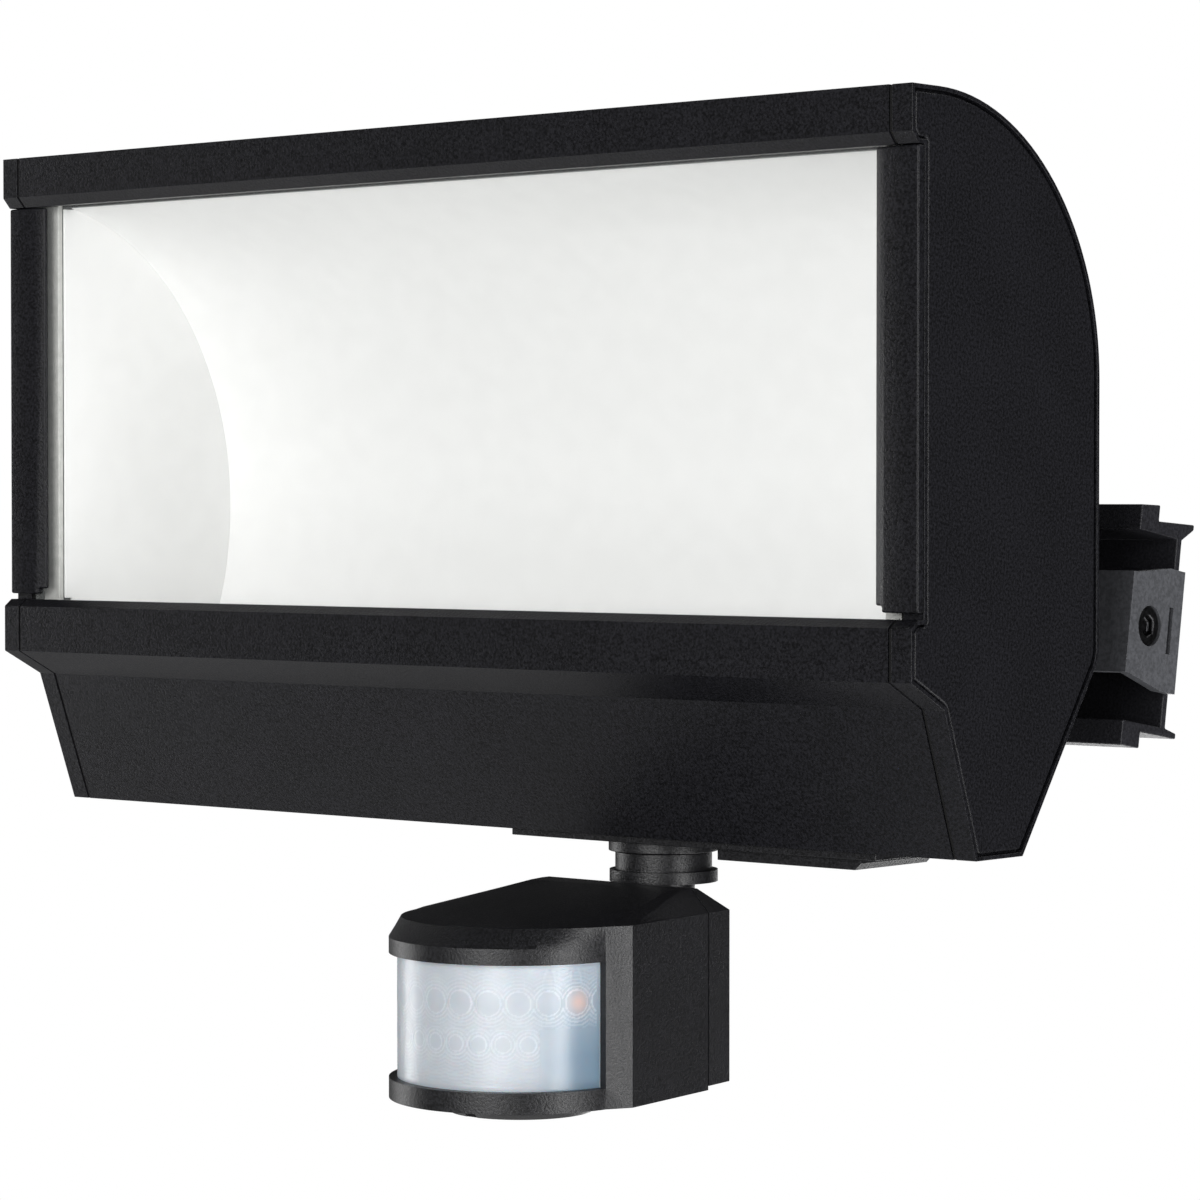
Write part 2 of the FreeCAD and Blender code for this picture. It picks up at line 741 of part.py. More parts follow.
def turn_to_chamfer(piece, depth, height):
    """Turn a piece built along Z so that it points out of the lower back chamfer."""
    piece.Placement.Rotation = FreeCAD.Rotation(FreeCAD.Vector(1, 0, 0), -1)
    bind(piece, ".Placement.Rotation.Angle", f"90 deg + {CHAMFER_TURN}")
    piece.Placement.Rotation.Axis = FreeCAD.Vector(-1, 0, 0)
    bind(piece, ".Placement.Base.y", depth)
    bind(piece, ".Placement.Base.z", height)
    return piece


def gland_piece(maker, name, radius, out, length):
    depth, height = chamfer_point("0.5", out)
    piece = maker(name, "z", radius, "gland_across", "0", "0", length)
    return turn_to_chamfer(piece, depth, height)


def make_housing():
    skin = slab("ShellSkin", lamp_outline, f"-{SHELL_END}", SHELL_END)
    hollow = slab("ShellHollow", inset("ShellInside", lamp_outline, "shell_wall"),
                  f"-{SHELL_END} - 1", f"{SHELL_END} + 1")
    mouth = box("ShellMouth", f"-{SHELL_END} - 1", f"{SHELL_END} + 1", "-1", f"{RIB_BACK} + 1",
                "-mouth_bottom", "-mouth_top")
    slot = box("GlassSlot", f"-{SHELL_END} - 1", f"{SHELL_END} + 1", GLASS_FRONT, f"{RIB_BACK} + 1",
               GLASS_BOTTOM, GLASS_TOP)
    open_shell = cut("OpenShell", skin, [hollow, mouth, slot])
    ribs = [
        box("UpperRib", f"-{SHELL_END}", SHELL_END, RIB_FRONT, RIB_BACK, "-mouth_top", "-shell_wall / 2"),
        box("LowerRib", f"-{SHELL_END}", SHELL_END, RIB_FRONT, RIB_BACK, f"{GLASS_BOTTOM} - rib_wall",
            "-mouth_bottom - 0.3"),
        box("LowerShelf", f"-{SHELL_END}", SHELL_END, "shell_wall / 2", RIB_BACK,
            f"{GLASS_BOTTOM} - rib_wall", GLASS_BOTTOM),
    ]
    ports = []
    tools = []
    for side, sign in SIDES:
        near = span(sign, f"({SHELL_END} - port_length)", SHELL_END)[0]
        for name, depth, height in PORTS:
            ports.append(rod(f"Port{side}{name}", "x", "port_radius", near, depth, height, "port_length"))
            tools.append(rod(f"PortBore{side}{name}", "x", "port_bore", f"{near} - 1", depth, height,
                             "port_length + 2"))
    ribbed = fuse("RibbedShell", [open_shell] + ribs + ports)
    tools.append(rod("HubHole", "z", "hub_radius + hub_clearance", "neck_across", "neck_depth",
                     "-lamp_height - 1", "lamp_height - hub_top + 12"))
    for side, sign in SIDES:
        for level in ("top", "bottom"):
            tools.append(rod(f"BackHole{side}{level}", "y", "mount_screw_radius",
                             f"{sign} * mount_screw_half", "lamp_depth - shell_wall - 1",
                             f"-mount_screw_{level}", "shell_wall + 2"))
    tools.append(gland_piece(rod, "GlandHole", "gland_radius", "-shell_wall - 2", "shell_wall + 4"))
    keep_on_lamp("housing", cut("Housing", ribbed, tools))


def make_end_caps():
    recess_outline = inset("RecessOutline", lamp_outline, "cap_rim")
    cover_outline = inset("CoverOutline", lamp_outline, "cap_rim + cover_gap")
    gasket_inside = inset("GasketInside", lamp_outline, "gasket_land")
    screws = []
    for side, sign in SIDES:
        blank = slab(f"CapBlank{side}", lamp_outline, *span(sign, CAP_INNER, CAP_OUTER))
        recess = slab(f"CapRecess{side}", recess_outline,
                      *span(sign, f"({CAP_OUTER} - cover_recess)", f"({CAP_OUTER} + 1)"))
        tools = [recess]
        for name, depth, height in PORTS:
            x0, x1 = span(sign, f"({CAP_INNER} - 1)", f"({CAP_OUTER} + 1)")
            tools.append(rod(f"CapHole{side}{name}", "x", "cap_screw_radius + 0.2", x0, depth, height,
                             f"({x1}) - ({x0})"))
            x0, x1 = span(sign, f"({CAP_OUTER} - cover_recess - 2)", f"({CAP_OUTER} + 1)")
            tools.append(rod(f"CapSink{side}{name}", "x", "cap_screw_head + 0.15", x0, depth, height,
                             f"({x1}) - ({x0})"))
            x0, x1 = span(sign, f"({CAP_OUTER} - cover_recess - 2)", f"({CAP_OUTER} - cover_recess - 0.2)")
            head = rod(f"CapScrewHead{side}{name}", "x", "cap_screw_head", x0, depth, height, "1.8")
            x0, x1 = span(sign, f"({CAP_OUTER} - cover_recess - 2 - cap_screw_length)",
                          f"({CAP_OUTER} - cover_recess - 2)")
            shank = rod(f"CapScrewShank{side}{name}", "x", "cap_screw_radius", x0, depth, height,
                        "cap_screw_length")
            screws.append(fuse(f"CapScrew{side}{name}", [head, shank]))
        keep_on_lamp(f"end_cap_{side}", cut(f"EndCap{side}", blank, tools))
        keep_on_lamp(f"side_cover_{side}", slab(
            f"SideCover{side}", cover_outline,
            *span(sign, f"({CAP_OUTER} - cover_recess)",
            f"({CAP_OUTER} - cover_recess + cover_thickness)")))
        seam = span(sign, SHELL_END, CAP_INNER)
        outer = slab(f"GasketBlank{side}", inset(f"GasketOutline{side}", lamp_outline, "0.25"), *seam)
        inner = slab(f"GasketHollow{side}", gasket_inside,
                     *span(sign, f"({SHELL_END} - 1)", f"({CAP_INNER} + 1)"))
        keep_on_lamp(f"seam_gasket_{side}", cut(f"SeamGasket{side}", outer, [inner]))
    keep_on_lamp("end_cap_screws", group("EndCapScrews", screws))


def make_clamps():
    for side, sign in SIDES:
        foot = "-(mouth_bottom - clamp_foot_gap)"
        strip = prism(f"ClampStrip{side}", "XY_Plane", foot,
                "mouth_bottom - clamp_foot_gap - mouth_top - 0.2", [
            (f"{sign} * lamp_width / 2", "mouth_depth"),
            (f"{sign} * clamp_flat", "mouth_depth"),
            (f"{sign} * clamp_inner", "mouth_depth + clamp_bevel"),
            (f"{sign} * clamp_inner", "clamp_back"),
            (f"{sign} * lamp_width / 2", "clamp_back"),
        ])
        notch = box(f"ClampNotch{side}",
                    *span(sign, "clamp_inner - 1", "clamp_inner + clamp_notch_wide"),
                    "0", "clamp_back + 1", f"{foot} - 1", f"{foot} + clamp_notch_high")
        keep_on_lamp(f"glass_clamp_{side}", cut(f"GlassClamp{side}", strip, [notch]))


def make_glass():
    edge = f"({SHELL_END} - 0.5)"
    keep_on_lamp("glass", box("Glass", f"-{edge}", edge, GLASS_FRONT, GLASS_BACK,
                              f"{GLASS_BOTTOM} + 0.4", f"{GLASS_TOP} - 0.4"))
    frame = box("SealBlank", f"-{edge}", edge, GLASS_BACK, RIB_FRONT, f"{GLASS_BOTTOM} + 0.4",
                f"{GLASS_TOP} - 0.4")
    window = box("SealWindow", f"-{edge} + seal_width", f"{edge} - seal_width", f"{GLASS_BACK} - 1",
                 f"{RIB_FRONT} + 1", "-mouth_bottom - 0.5", "-mouth_top + 0.5")
    keep_on_lamp("glass_seal", cut("GlassSeal", frame, [window]))


def trough(name, extra, x0, x1):
    """A whole elliptical cylinder along X, grown by extra."""
    ring = doc.addObject("Part::Ellipse", name + "Ellipse")
    ring.Placement.Rotation = FreeCAD.Rotation(FreeCAD.Vector(0, 0, 1), FreeCAD.Vector(0, 1, 0),
                                               FreeCAD.Vector(-1, 0, 0))
    bind(ring, "MajorRadius", f"trough_high + {extra}")
    bind(ring, "MinorRadius", f"trough_deep + {extra}")
    move_to(ring, "0", "trough_centre_depth", "-trough_centre_drop")
    return slab(name, ring, x0, x1)


def make_reflector():
    plate = "trough_end + sheet"
    outer = trough("TroughOuter", "sheet", "-trough_end", "trough_end")
    inner = trough("TroughInner", "0", "-trough_end - 1", "trough_end + 1")
    band = box("TroughBand", "-trough_end - 1", "trough_end + 1", RIB_BACK, "lamp_depth",
               "-trough_bottom", "0")
    keep_on_lamp("reflector", common("Reflector", cut("TroughSheet", outer, [inner]), band))
    edge = ("trough_centre_depth + trough_deep"
            " * sqrt(1 - ((trough_bottom - trough_centre_drop) / trough_high)^2)")
    middle = "(bar_front + bar_back) / 2"
    floor = box("FloorSheet", "-trough_end", "trough_end", RIB_BACK, edge, "-trough_bottom",
                "-trough_bottom + sheet")
    window = box("FloorWindow", "-bar_half + 1.5", "bar_half - 1.5", f"{middle} - board_width / 2 - 0.5",
                 f"{middle} + board_width / 2 + 0.5", "-trough_bottom - 1", "-trough_bottom + sheet + 1")
    keep_on_lamp("reflector_floor", cut("ReflectorFloor", floor, [window]))
    for side, sign in SIDES:
        disc = trough(f"TroughPlate{side}", "sheet", *span(sign, "trough_end", f"({plate})"))
        reach = span(sign, "trough_end - 1", f"({plate} + 1)")
        quarter = fuse(f"TroughQuarter{side}", [
            box(f"TroughBehind{side}", *reach, RIB_BACK, "lamp_depth", "-trough_bottom",
            "-mouth_top - 0.3"),
            box(f"TroughBetween{side}", *reach, RIB_FRONT, "lamp_depth / 2", "-mouth_bottom + 0.3",
                "-mouth_top - 0.3"),
        ])
        keep_on_lamp(f"reflector_end_{side}", common(f"ReflectorEnd{side}", disc, quarter))


def make_light_source():
    base = box("BarBase", "-bar_half", "bar_half", "bar_front", "bar_back", "-bar_top - bar_base",
            "-bar_top")
    fins = []
    for step in range(5):
        depth = f"bar_front + {step} * (bar_back - bar_front - bar_fin_thickness) / 4"
        fins.append(box(f"BarFin{step}", "-bar_half", "bar_half", depth, f"{depth} + bar_fin_thickness",
                        "-bar_top - bar_base - bar_fin", "-bar_top - bar_base"))
    keep_on_lamp("led_bar", fuse("LedBar", [base] + fins))
    middle = "(bar_front + bar_back) / 2"
    keep_on_lamp("led_board", box("LedBoard", "-bar_half + 2", "bar_half - 2",
                                  f"{middle} - board_width / 2", f"{middle} + board_width / 2",
                                  "-bar_top", "-bar_top + board_thickness"))
    chips = []
    for step in range(-7, 8):
        chips.append(box(f"Chip{step + 7}", f"{step} * chip_pitch - chip_size / 2",
                         f"{step} * chip_pitch + chip_size / 2", f"{middle} - chip_size / 2",
                         f"{middle} + chip_size / 2", "-bar_top + board_thickness",
                         "-bar_top + board_thickness + chip_height"))
    keep_on_lamp("led_chips", group("LedChips", chips))
    brackets = []
    for side, sign in SIDES:
        x0, x1 = span(sign, "bar_half", CAP_INNER)
        brackets.append(box(f"BarBracket{side}", x0, x1, "bar_front + 4", "bar_back - 2",
                            "-bar_top - bar_base", "-bar_top"))
    keep_on_lamp("led_bar_brackets", group("BarBrackets", brackets))


def make_driver():
    floor = "-lamp_height + shell_wall"
    keep_on_lamp("driver_pad", box("DriverPad", "driver_left + 5", "driver_left + driver_length - 5",
                                   "driver_front + 1", "driver_front + driver_depth - 1", floor,
                                   f"{floor} + driver_pad"))
    keep_on_lamp("led_driver", box("LedDriver", "driver_left", "driver_left + driver_length",
                                   "driver_front", "driver_front + driver_depth", f"{floor} + driver_pad",
                                   f"{floor} + driver_pad + driver_height"))
    block = box("TerminalBody", "84", "114", "driver_front + 1", "driver_front + 13", floor,
            f"{floor} + 14")
    wells = [
        rod(f"TerminalWell{step}", "z", "2", f"{89 + 10 * step}", "driver_front + 7", f"{floor} + 8", "7")
        for step in range(3)
    ]
    keep_on_lamp("terminal_block", cut("TerminalBlock", block, wells))


def make_gland():
    hexed = gland_piece(hexagon, "GlandHex", "gland_hex", "0", "gland_hex_height")
    dome = gland_piece(rod, "GlandDome", "gland_dome", "gland_hex_height", "gland_dome_height")
    thread = gland_piece(rod, "GlandThread", "gland_radius", "-shell_wall - gland_nut_height - 1",
                         "shell_wall + gland_nut_height + 1")
    bore = gland_piece(rod, "GlandBore", "gland_bore", "-shell_wall - gland_nut_height - 2",
                       "shell_wall + gland_nut_height + gland_hex_height + gland_dome_height + 4")
    keep_on_lamp("cable_gland", cut("CableGland", fuse("GlandBlank", [hexed, dome, thread]), [bore]))
    nut = gland_piece(hexagon, "GlandNutHex", "gland_hex", "-shell_wall - gland_nut_height",
                      "gland_nut_height")
    hole = gland_piece(rod, "GlandNutHole", "gland_radius", "-shell_wall - gland_nut_height - 1",
                       "gland_nut_height + 2")
    keep_on_lamp("gland_nut", cut("GlandNut", nut, [hole]))


# ---------------------------------------------------------------- sensor base and neck
def make_sensor_base():
    saddle = prism("Saddle", "YZ_Plane", "base_left", "base_right - base_left", [
        ("base_front", "-lamp_height"),
        ("base_front", "-lamp_height - base_plate"),
        ("base_back", "-lamp_height - base_plate"),
        ("base_back", "-lamp_height + (base_back - bottom_back) * (lamp_height - back_drop)"
                      " / (lamp_depth - bottom_back)"),
        ("bottom_back", "-lamp_height"),
    ])
    bottom = "-lamp_height - base_plate"
    ring = rod("SwivelRing", "z", "ring_radius", "neck_across", "neck_depth", f"{bottom} - ring_height",
               "ring_height")
    hub = rod("SwivelHub", "z", "hub_radius", "neck_across", "neck_depth", bottom,
              "lamp_height + base_plate - hub_top")
    bore = rod("SwivelBore", "z", "journal_radius + journal_clearance", "neck_across", "neck_depth",
               f"{bottom} - ring_height - 1", "lamp_height + base_plate + ring_height - hub_top + 2")
    screw_at = ("entry_screw", "entry_screw_depth")
    pilot = rod("EntryPilot", "z", "entry_screw_radius", *screw_at, f"{bottom} - 1", "entry_screw_length")
    above_hub = rod("AboveHub", "z", "swivel_nut_radius + 0.8", "neck_across", "neck_depth",
            "-hub_top", "25")
    keep_on_lamp("sensor_base", cut("SensorBase", fuse("BaseBlank", [saddle, ring, hub]),
                                    [bore, pilot, above_hub]))
    cover = prism("EntryPlate", "XZ_Plane", "-entry_back", "entry_back - entry_front", [
        ("entry_left", bottom),
        ("entry_left", f"{bottom} - entry_height"),
        ("entry_right - entry_bevel", f"{bottom} - entry_height"),
        ("entry_right", f"{bottom} - entry_height + entry_bevel"),
        ("entry_right", bottom),
    ])
    hole = rod("EntryHole", "z", "entry_screw_radius + 0.2", *screw_at, f"{bottom} - entry_height - 1",
               "entry_height + 2")
    sink = rod("EntrySink", "z", "3.1", *screw_at, f"{bottom} - entry_height - 1", "2.2")
    keep_on_lamp("entry_cover", cut("EntryCover", cover, [hole, sink]))
    head = rod("EntryScrewHead", "z", "2.9", *screw_at, f"{bottom} - entry_height - 0.4", "1.6")
    shank = rod("EntryScrewShank", "z", "entry_screw_radius", *screw_at, f"{bottom} - entry_height + 1.2",
                "entry_height - 1.2 + entry_screw_length - 2")
    slot = box("EntryScrewSlot", "entry_screw - 0.4", "entry_screw + 0.4",
               "entry_screw_depth - 4", "entry_screw_depth + 4",
               f"{bottom} - entry_height - 1", f"{bottom} - entry_height + 0.2")
    keep_on_lamp("entry_cover_screw", cut("EntryScrew", fuse("EntryScrewBlank", [head, shank]), [slot]))


def at_neck(piece):
    bind(piece, ".Placement.Base.x", "neck_across")
    bind(piece, ".Placement.Base.y", "neck_depth")
    return piece


def make_neck():
    seat = "-lamp_height - base_plate - ring_height - axial_gap"
    nut_bottom = "-hub_top + axial_gap"
    turned = at_neck(revolved("NeckTurned", [
        ("wire_bore", f"{nut_bottom} + swivel_nut_height + 1"),
        ("wire_bore", "-knuckle_drop + knuckle_half + 4"),
        ("0", "-knuckle_drop + knuckle_half + 4"),
        ("0", "-knuckle_drop"),
        ("column_radius", "-knuckle_drop"),
        ("column_radius", "-flange_bottom"),
        ("flange_radius", "-flange_bottom"),
        ("flange_radius", "-waist_bottom"),
        ("waist_radius", "-waist_bottom"),
        ("waist_radius", seat),
        ("journal_radius", seat),
        ("journal_radius", f"{nut_bottom} + swivel_nut_height + 1"),
    ]))
    barrel = rod("NeckBarrel", "x", "column_radius", "neck_across - knuckle_half", "neck_depth",
                 "-knuckle_drop", "2 * knuckle_half")
    eye = rod("NeckEye", "x", "tilt_screw_radius + tilt_clearance", "neck_across - knuckle_half - 2",
              "neck_depth", "-knuckle_drop", "2 * knuckle_half + 4")
    # The column is pared flat beside the head's lugs.
    pares = [
        box(f"NeckPare{side}", *[f"neck_across + {x}" for x in span(sign, "knuckle_half",
        "(2 * knuckle_half)")],
            "neck_depth - 20", "neck_depth + 20", "-knuckle_drop - 10",
            "-knuckle_drop + column_radius + 6")
        for side, sign in SIDES
    ]
    keep_on_lamp("neck", cut("Neck", fuse("NeckBlank", [turned, barrel]), [eye] + pares))
    keep_on_lamp("swivel_nut", cut("SwivelNut", rod(
        "SwivelNutBlank", "z", "swivel_nut_radius", "neck_across", "neck_depth", nut_bottom,
        "swivel_nut_height"), [rod("SwivelNutBore", "z", "journal_radius", "neck_across", "neck_depth",
                                   f"{nut_bottom} - 1", "swivel_nut_height + 2")]))


# ---------------------------------------------------------------- sensor head
def head_side(points, sign=1):
    """Plan points of the head, given as (across, depth in front of the neck), in the lamp's frame."""
    return [(f"neck_across + {sign} * ({p[0]})", f"neck_depth - ({p[1]})") + tuple(p[2:]) for p in points]


NOSE_TIP = "lens_centre + rim_radius"
# The shoulder's top arc runs between the cheeks, set back at the nose's tip.
NOSE_RISE = f"({NOSE_TIP} - shoulder - cheek_depth)"
SHOULDER_RADIUS = f"(cheek_across^2 + {NOSE_RISE}^2) / (2 * {NOSE_RISE})"


def nose(radius, tip):
    """Cheek to cheek round the nose, as two arcs that meet at its tip."""
    return (head_side([("cheek_across", "cheek_depth", f"-({radius})"), ("0", tip, f"-({radius})")])
            + head_side([("cheek_across", "cheek_depth")], -1))


def head_plan():
    """The head's outline from above: back seam, tapering sides, bevelled cheeks and a round nose."""
    sides = [("seam_across", "seam_depth"), ("face_across", "face_depth")]
    return head_side(sides) + nose("rim_radius", NOSE_TIP) + head_side(list(reversed(sides)), -1)


COVER_SCREWS = [
    (side + level, f"neck_across + {sign} * cover_screw_across", height)
    for side, sign in SIDES
    for level, height in (("low", "-head_bottom + 6"), ("high", "-side_top - 6"))
]


def make_sensor_head():
    # Walls and cheeks stand full height; the rims above and below the lens share the nose's plan.
    corners = [("seam_across", "seam_depth"), ("face_across", "face_depth"), ("cheek_across",
            "cheek_depth")]
    walls = prism("HeadWalls", "XY_Plane", "-head_bottom", "head_bottom - side_top",
                  head_side(corners) + head_side(list(reversed(corners)), -1))
    plan = head_plan()
    bottom_rim = prism("HeadBottomRim", "XY_Plane", "-rim_bottom", "rim_bottom - lens_bottom", plan)
    top_rim = prism("HeadTopRim", "XY_Plane", "-lens_top", "lens_top - rim_top", plan)
    shoulder = lofted("HeadShoulder", ("-rim_top", nose("rim_radius", NOSE_TIP)),
                      ("-side_top", nose(SHOULDER_RADIUS, f"{NOSE_TIP} - shoulder")))
    # The roof rises from the walls and the shoulder to a flat band at the back.
    eaves = head_side(corners[:2]) + nose(SHOULDER_RADIUS, f"{NOSE_TIP} - shoulder")
    eaves += head_side(list(reversed(corners[:2])), -1)
    band = [("ridge_across", "seam_depth"), ("(ridge_across + ridge_front_across) / 2",
                                             "(seam_depth + ridge_front) / 2"),
            ("ridge_front_across", "ridge_front")]
    roof = lofted("HeadRoof", ("-side_top", eaves), ("-ridge_top", head_side(band)
                  + head_side([("0", "ridge_front")]) + head_side(list(reversed(band)), -1)))
    blank = fuse("HeadBlank", [walls, bottom_rim, top_rim, shoulder, roof])
    # Inside: one chamber behind the lens and between the rims.
    room = [
        ("seam_across - head_wall", "seam_depth - 1"),
        ("face_across - head_wall", "face_depth"),
        ("lens_radius - lens_wall - 1.2", "lens_centre - 0.5"),
    ]
    chamber = prism("HeadChamber", "XY_Plane", "-head_bottom + head_wall",
                    "head_bottom - head_wall - side_top - head_wall",
                    head_side(room) + head_side(list(reversed(room)), -1))
    well = rod("LensWell", "z", "lens_radius + 0.15", "neck_across", "neck_depth - lens_centre",
               "-lens_bottom - 0.2", "lens_bottom - lens_top + 0.4")
    well_front = box("LensWellFront", "neck_across - lens_radius - 0.15",
            "neck_across + lens_radius + 0.15",
               "neck_depth - lens_centre - lens_radius - 1", "neck_depth - lens_end + 0.2",
               "-lens_bottom - 0.2", "-lens_top + 0.2")
    window = common("LensWindow", well, well_front)
    tools = [chamber, window]
    disc_at = ("neck_across", "neck_depth - disc_centre")
    tools.append(rod("DiscHole", "z", "disc_hole_radius", *disc_at, "-rim_bottom - 1",
                     "rim_bottom - lens_bottom + 1.5"))
    shell = cut("SensorShell", blank, tools)
    posts = []
    bores = []
    for name, across, height in COVER_SCREWS:
        posts.append(rod(f"BodyPost{name}", "y", "cover_post_radius", across,
                         "neck_depth - seam_depth - body_post_length", height, "body_post_length"))
        bores.append(rod(f"BodyBore{name}", "y", "cover_screw_radius", across,
                         "neck_depth - seam_depth - body_post_length - 1", height, "body_post_length + 2"))
    keep_on_lamp("sensor_body", cut("SensorBody", fuse("SensorPosted", [shell] + posts), bores))


def make_sensor_lens():
    height = "lens_bottom - lens_top"
    outer = rod("LensOuter", "z", "lens_radius", "neck_across", "neck_depth - lens_centre",
            "-lens_bottom", height)
    inner = rod("LensInner", "z", "lens_radius - lens_wall", "neck_across", "neck_depth - lens_centre",
                "-lens_bottom - 1", f"{height} + 2")
    front = box("LensFront", "neck_across - 40", "neck_across + 40", "neck_depth - lens_centre - 40",
                "neck_depth - lens_end", "-lens_bottom - 1", "-lens_top + 1")
    keep_on_lamp("sensor_lens", common("SensorLens", cut("LensSheet", outer, [inner]), front))


def make_back_cover():
    """The head's rear cover with the two lugs that hold the tilt screw."""
    cover = prism("BackCoverPlan", "XY_Plane", "-head_bottom", "head_bottom - side_top",
                  head_side([("seam_across", "seam_depth - 0.3"), ("back_across", "head_back")])
                  + head_side([("back_across", "head_back"), ("seam_across", "seam_depth - 0.3")], -1))
    front = "seam_depth - 0.3"
    ridge = lofted("BackCoverRidge", ("-side_top", head_side([("seam_across", front),
                                                              ("back_across", "head_back")])
                                      + head_side([("back_across", "head_back"), ("seam_across",
                                      front)], -1)),
                   ("-ridge_top", head_side([("ridge_across", front), ("ridge_across", "ridge_back")])
                    + head_side([("ridge_across", "ridge_back"), ("ridge_across", front)], -1)))
    lugs = []
    for side, sign in SIDES:
        near = "knuckle_half + lug_gap"
        x0, x1 = [f"neck_across + {x}" for x in span(sign, f"({near})", f"({near} + head_lug)")]
        lugs.append(box(f"HeadLug{side}", x0, x1, "neck_depth - head_back - 1", "neck_depth",
                        "-knuckle_drop - head_lug_half", "-knuckle_drop + head_lug_half"))
        lugs.append(rod(f"HeadLugEye{side}", "x", "head_lug_half", x0, "neck_depth",
                "-knuckle_drop", "head_lug"))
    hole = rod("HeadLugHole", "x", "tilt_screw_radius", "neck_across - 25", "neck_depth",
            "-knuckle_drop", "50")
    hollow = prism("BackCoverHollow", "XY_Plane", "-head_bottom + head_wall",
                   "head_bottom - side_top - 2 * head_wall",
                   head_side([("seam_across - head_wall", "seam_depth + 1"),
                              ("back_across - head_wall", "head_back + head_wall")])
                   + head_side([("back_across - head_wall", "head_back + head_wall"),
                                ("seam_across - head_wall", "seam_depth + 1")], -1))
    shell = cut("BackCoverShell", fuse("BackCoverBlank", [cover, ridge] + lugs), [hole, hollow])
    posts = []
    bores = []
    for name, across, height in COVER_SCREWS:
        posts.append(rod(f"CoverPost{name}", "y", "cover_post_radius", across,
                "neck_depth - seam_depth + 0.3",
                         height, "seam_depth - 0.3 - head_back"))
        bores.append(rod(f"CoverBore{name}", "y", "cover_screw_radius + 0.1", across,
                         "neck_depth - seam_depth - 1", height, "seam_depth - head_back + 2"))
    keep_on_lamp("sensor_back_cover", cut("BackCover", fuse("BackCoverPosted", [shell] + posts), bores))
    reach = "(knuckle_half + lug_gap + head_lug)"
    screw = fuse("TiltScrewBlank", [
        rod("TiltScrewShank", "x", "tilt_screw_radius", f"neck_across - {reach} - 4", "neck_depth",
            "-knuckle_drop", f"2 * {reach} + 4"),
        rod("TiltScrewHead", "x", "1.9 * tilt_screw_radius", f"neck_across + {reach}", "neck_depth",
            "-knuckle_drop", "2.6"),
    ])
    drive = hexagon("TiltScrewDrive", "x", "0.8 * tilt_screw_radius", f"neck_across + {reach} + 1.2",
                    "neck_depth", "-knuckle_drop", "3")
    keep_on_lamp("tilt_screw", cut("TiltScrew", screw, [drive]))
    keep_on_lamp("tilt_nut", cut("TiltNut", hexagon(
        "TiltNutHex", "x", "4.2", f"neck_across - {reach} - 3.2", "neck_depth", "-knuckle_drop", "3.2"),
        [rod("TiltNutBore", "x", "tilt_screw_radius", f"neck_across - {reach} - 5", "neck_depth",
             "-knuckle_drop", "8")]))


DIALS = (("time_dial", -1, 0.5), ("light_dial", 1, 0.5), ("range_dial", 0, -1.0))


def dial_place(across, forward):
    return (f"neck_across + {across} * 0.87 * dial_ring",
            f"neck_depth - disc_centre - {forward} * dial_ring")


def make_bottom_disc():
    disc_at = ("neck_across", "neck_depth - disc_centre")
    bottom = "-rim_bottom - disc_height"
    plate = fuse("DiscBlank", [
        cone("DiscBevel", "z", "disc_radius - 1.2", "disc_radius", *disc_at, bottom, "1.2"),
        rod("DiscPlate", "z", "disc_radius", *disc_at, f"{bottom} + 1.2", "disc_height - 1.2"),
    ])
    tools = [box("DiscNotch", "neck_across - disc_notch", "neck_across + disc_notch",
                 "neck_depth - disc_centre - disc_radius - 1",
                 "neck_depth - disc_centre - disc_radius + 1.5",
                 f"{bottom} - 1", f"{bottom} + 1.5")]
    pots = []
    for name, across, forward in DIALS:
        place = dial_place(across, forward)
        tools.append(rod(f"{name}_well", "z", "dial_radius + dial_clearance", *place, f"{bottom} - 1",
                         "disc_height + 2"))
        dial = rod(f"{name}_blank", "z", "dial_radius", *place, f"{bottom} + 0.3", "dial_depth")
        slot = box(f"{name}_slot", f"({place[0]}) - dial_radius - 1", f"({place[0]}) + dial_radius + 1",
                   f"({place[1]}) - dial_slot / 2", f"({place[1]}) + dial_slot / 2", f"{bottom} - 1",
                   f"{bottom} + 1.4")
        keep_on_lamp(name, cut(f"{name}_cut", dial, [slot]))
        pots.append(box(f"{name}_pot", f"({place[0]}) - pot_size / 2", f"({place[0]}) + pot_size / 2",
                        f"({place[1]}) - pot_size / 2", f"({place[1]}) + pot_size / 2",
                        f"{bottom} + 0.6 + dial_depth", f"{bottom} + 0.6 + dial_depth + pot_height"))
    keep_on_lamp("dial_plate", cut("DialPlate", plate, tools))
    keep_on_lamp("potentiometers", group("Potentiometers", pots))


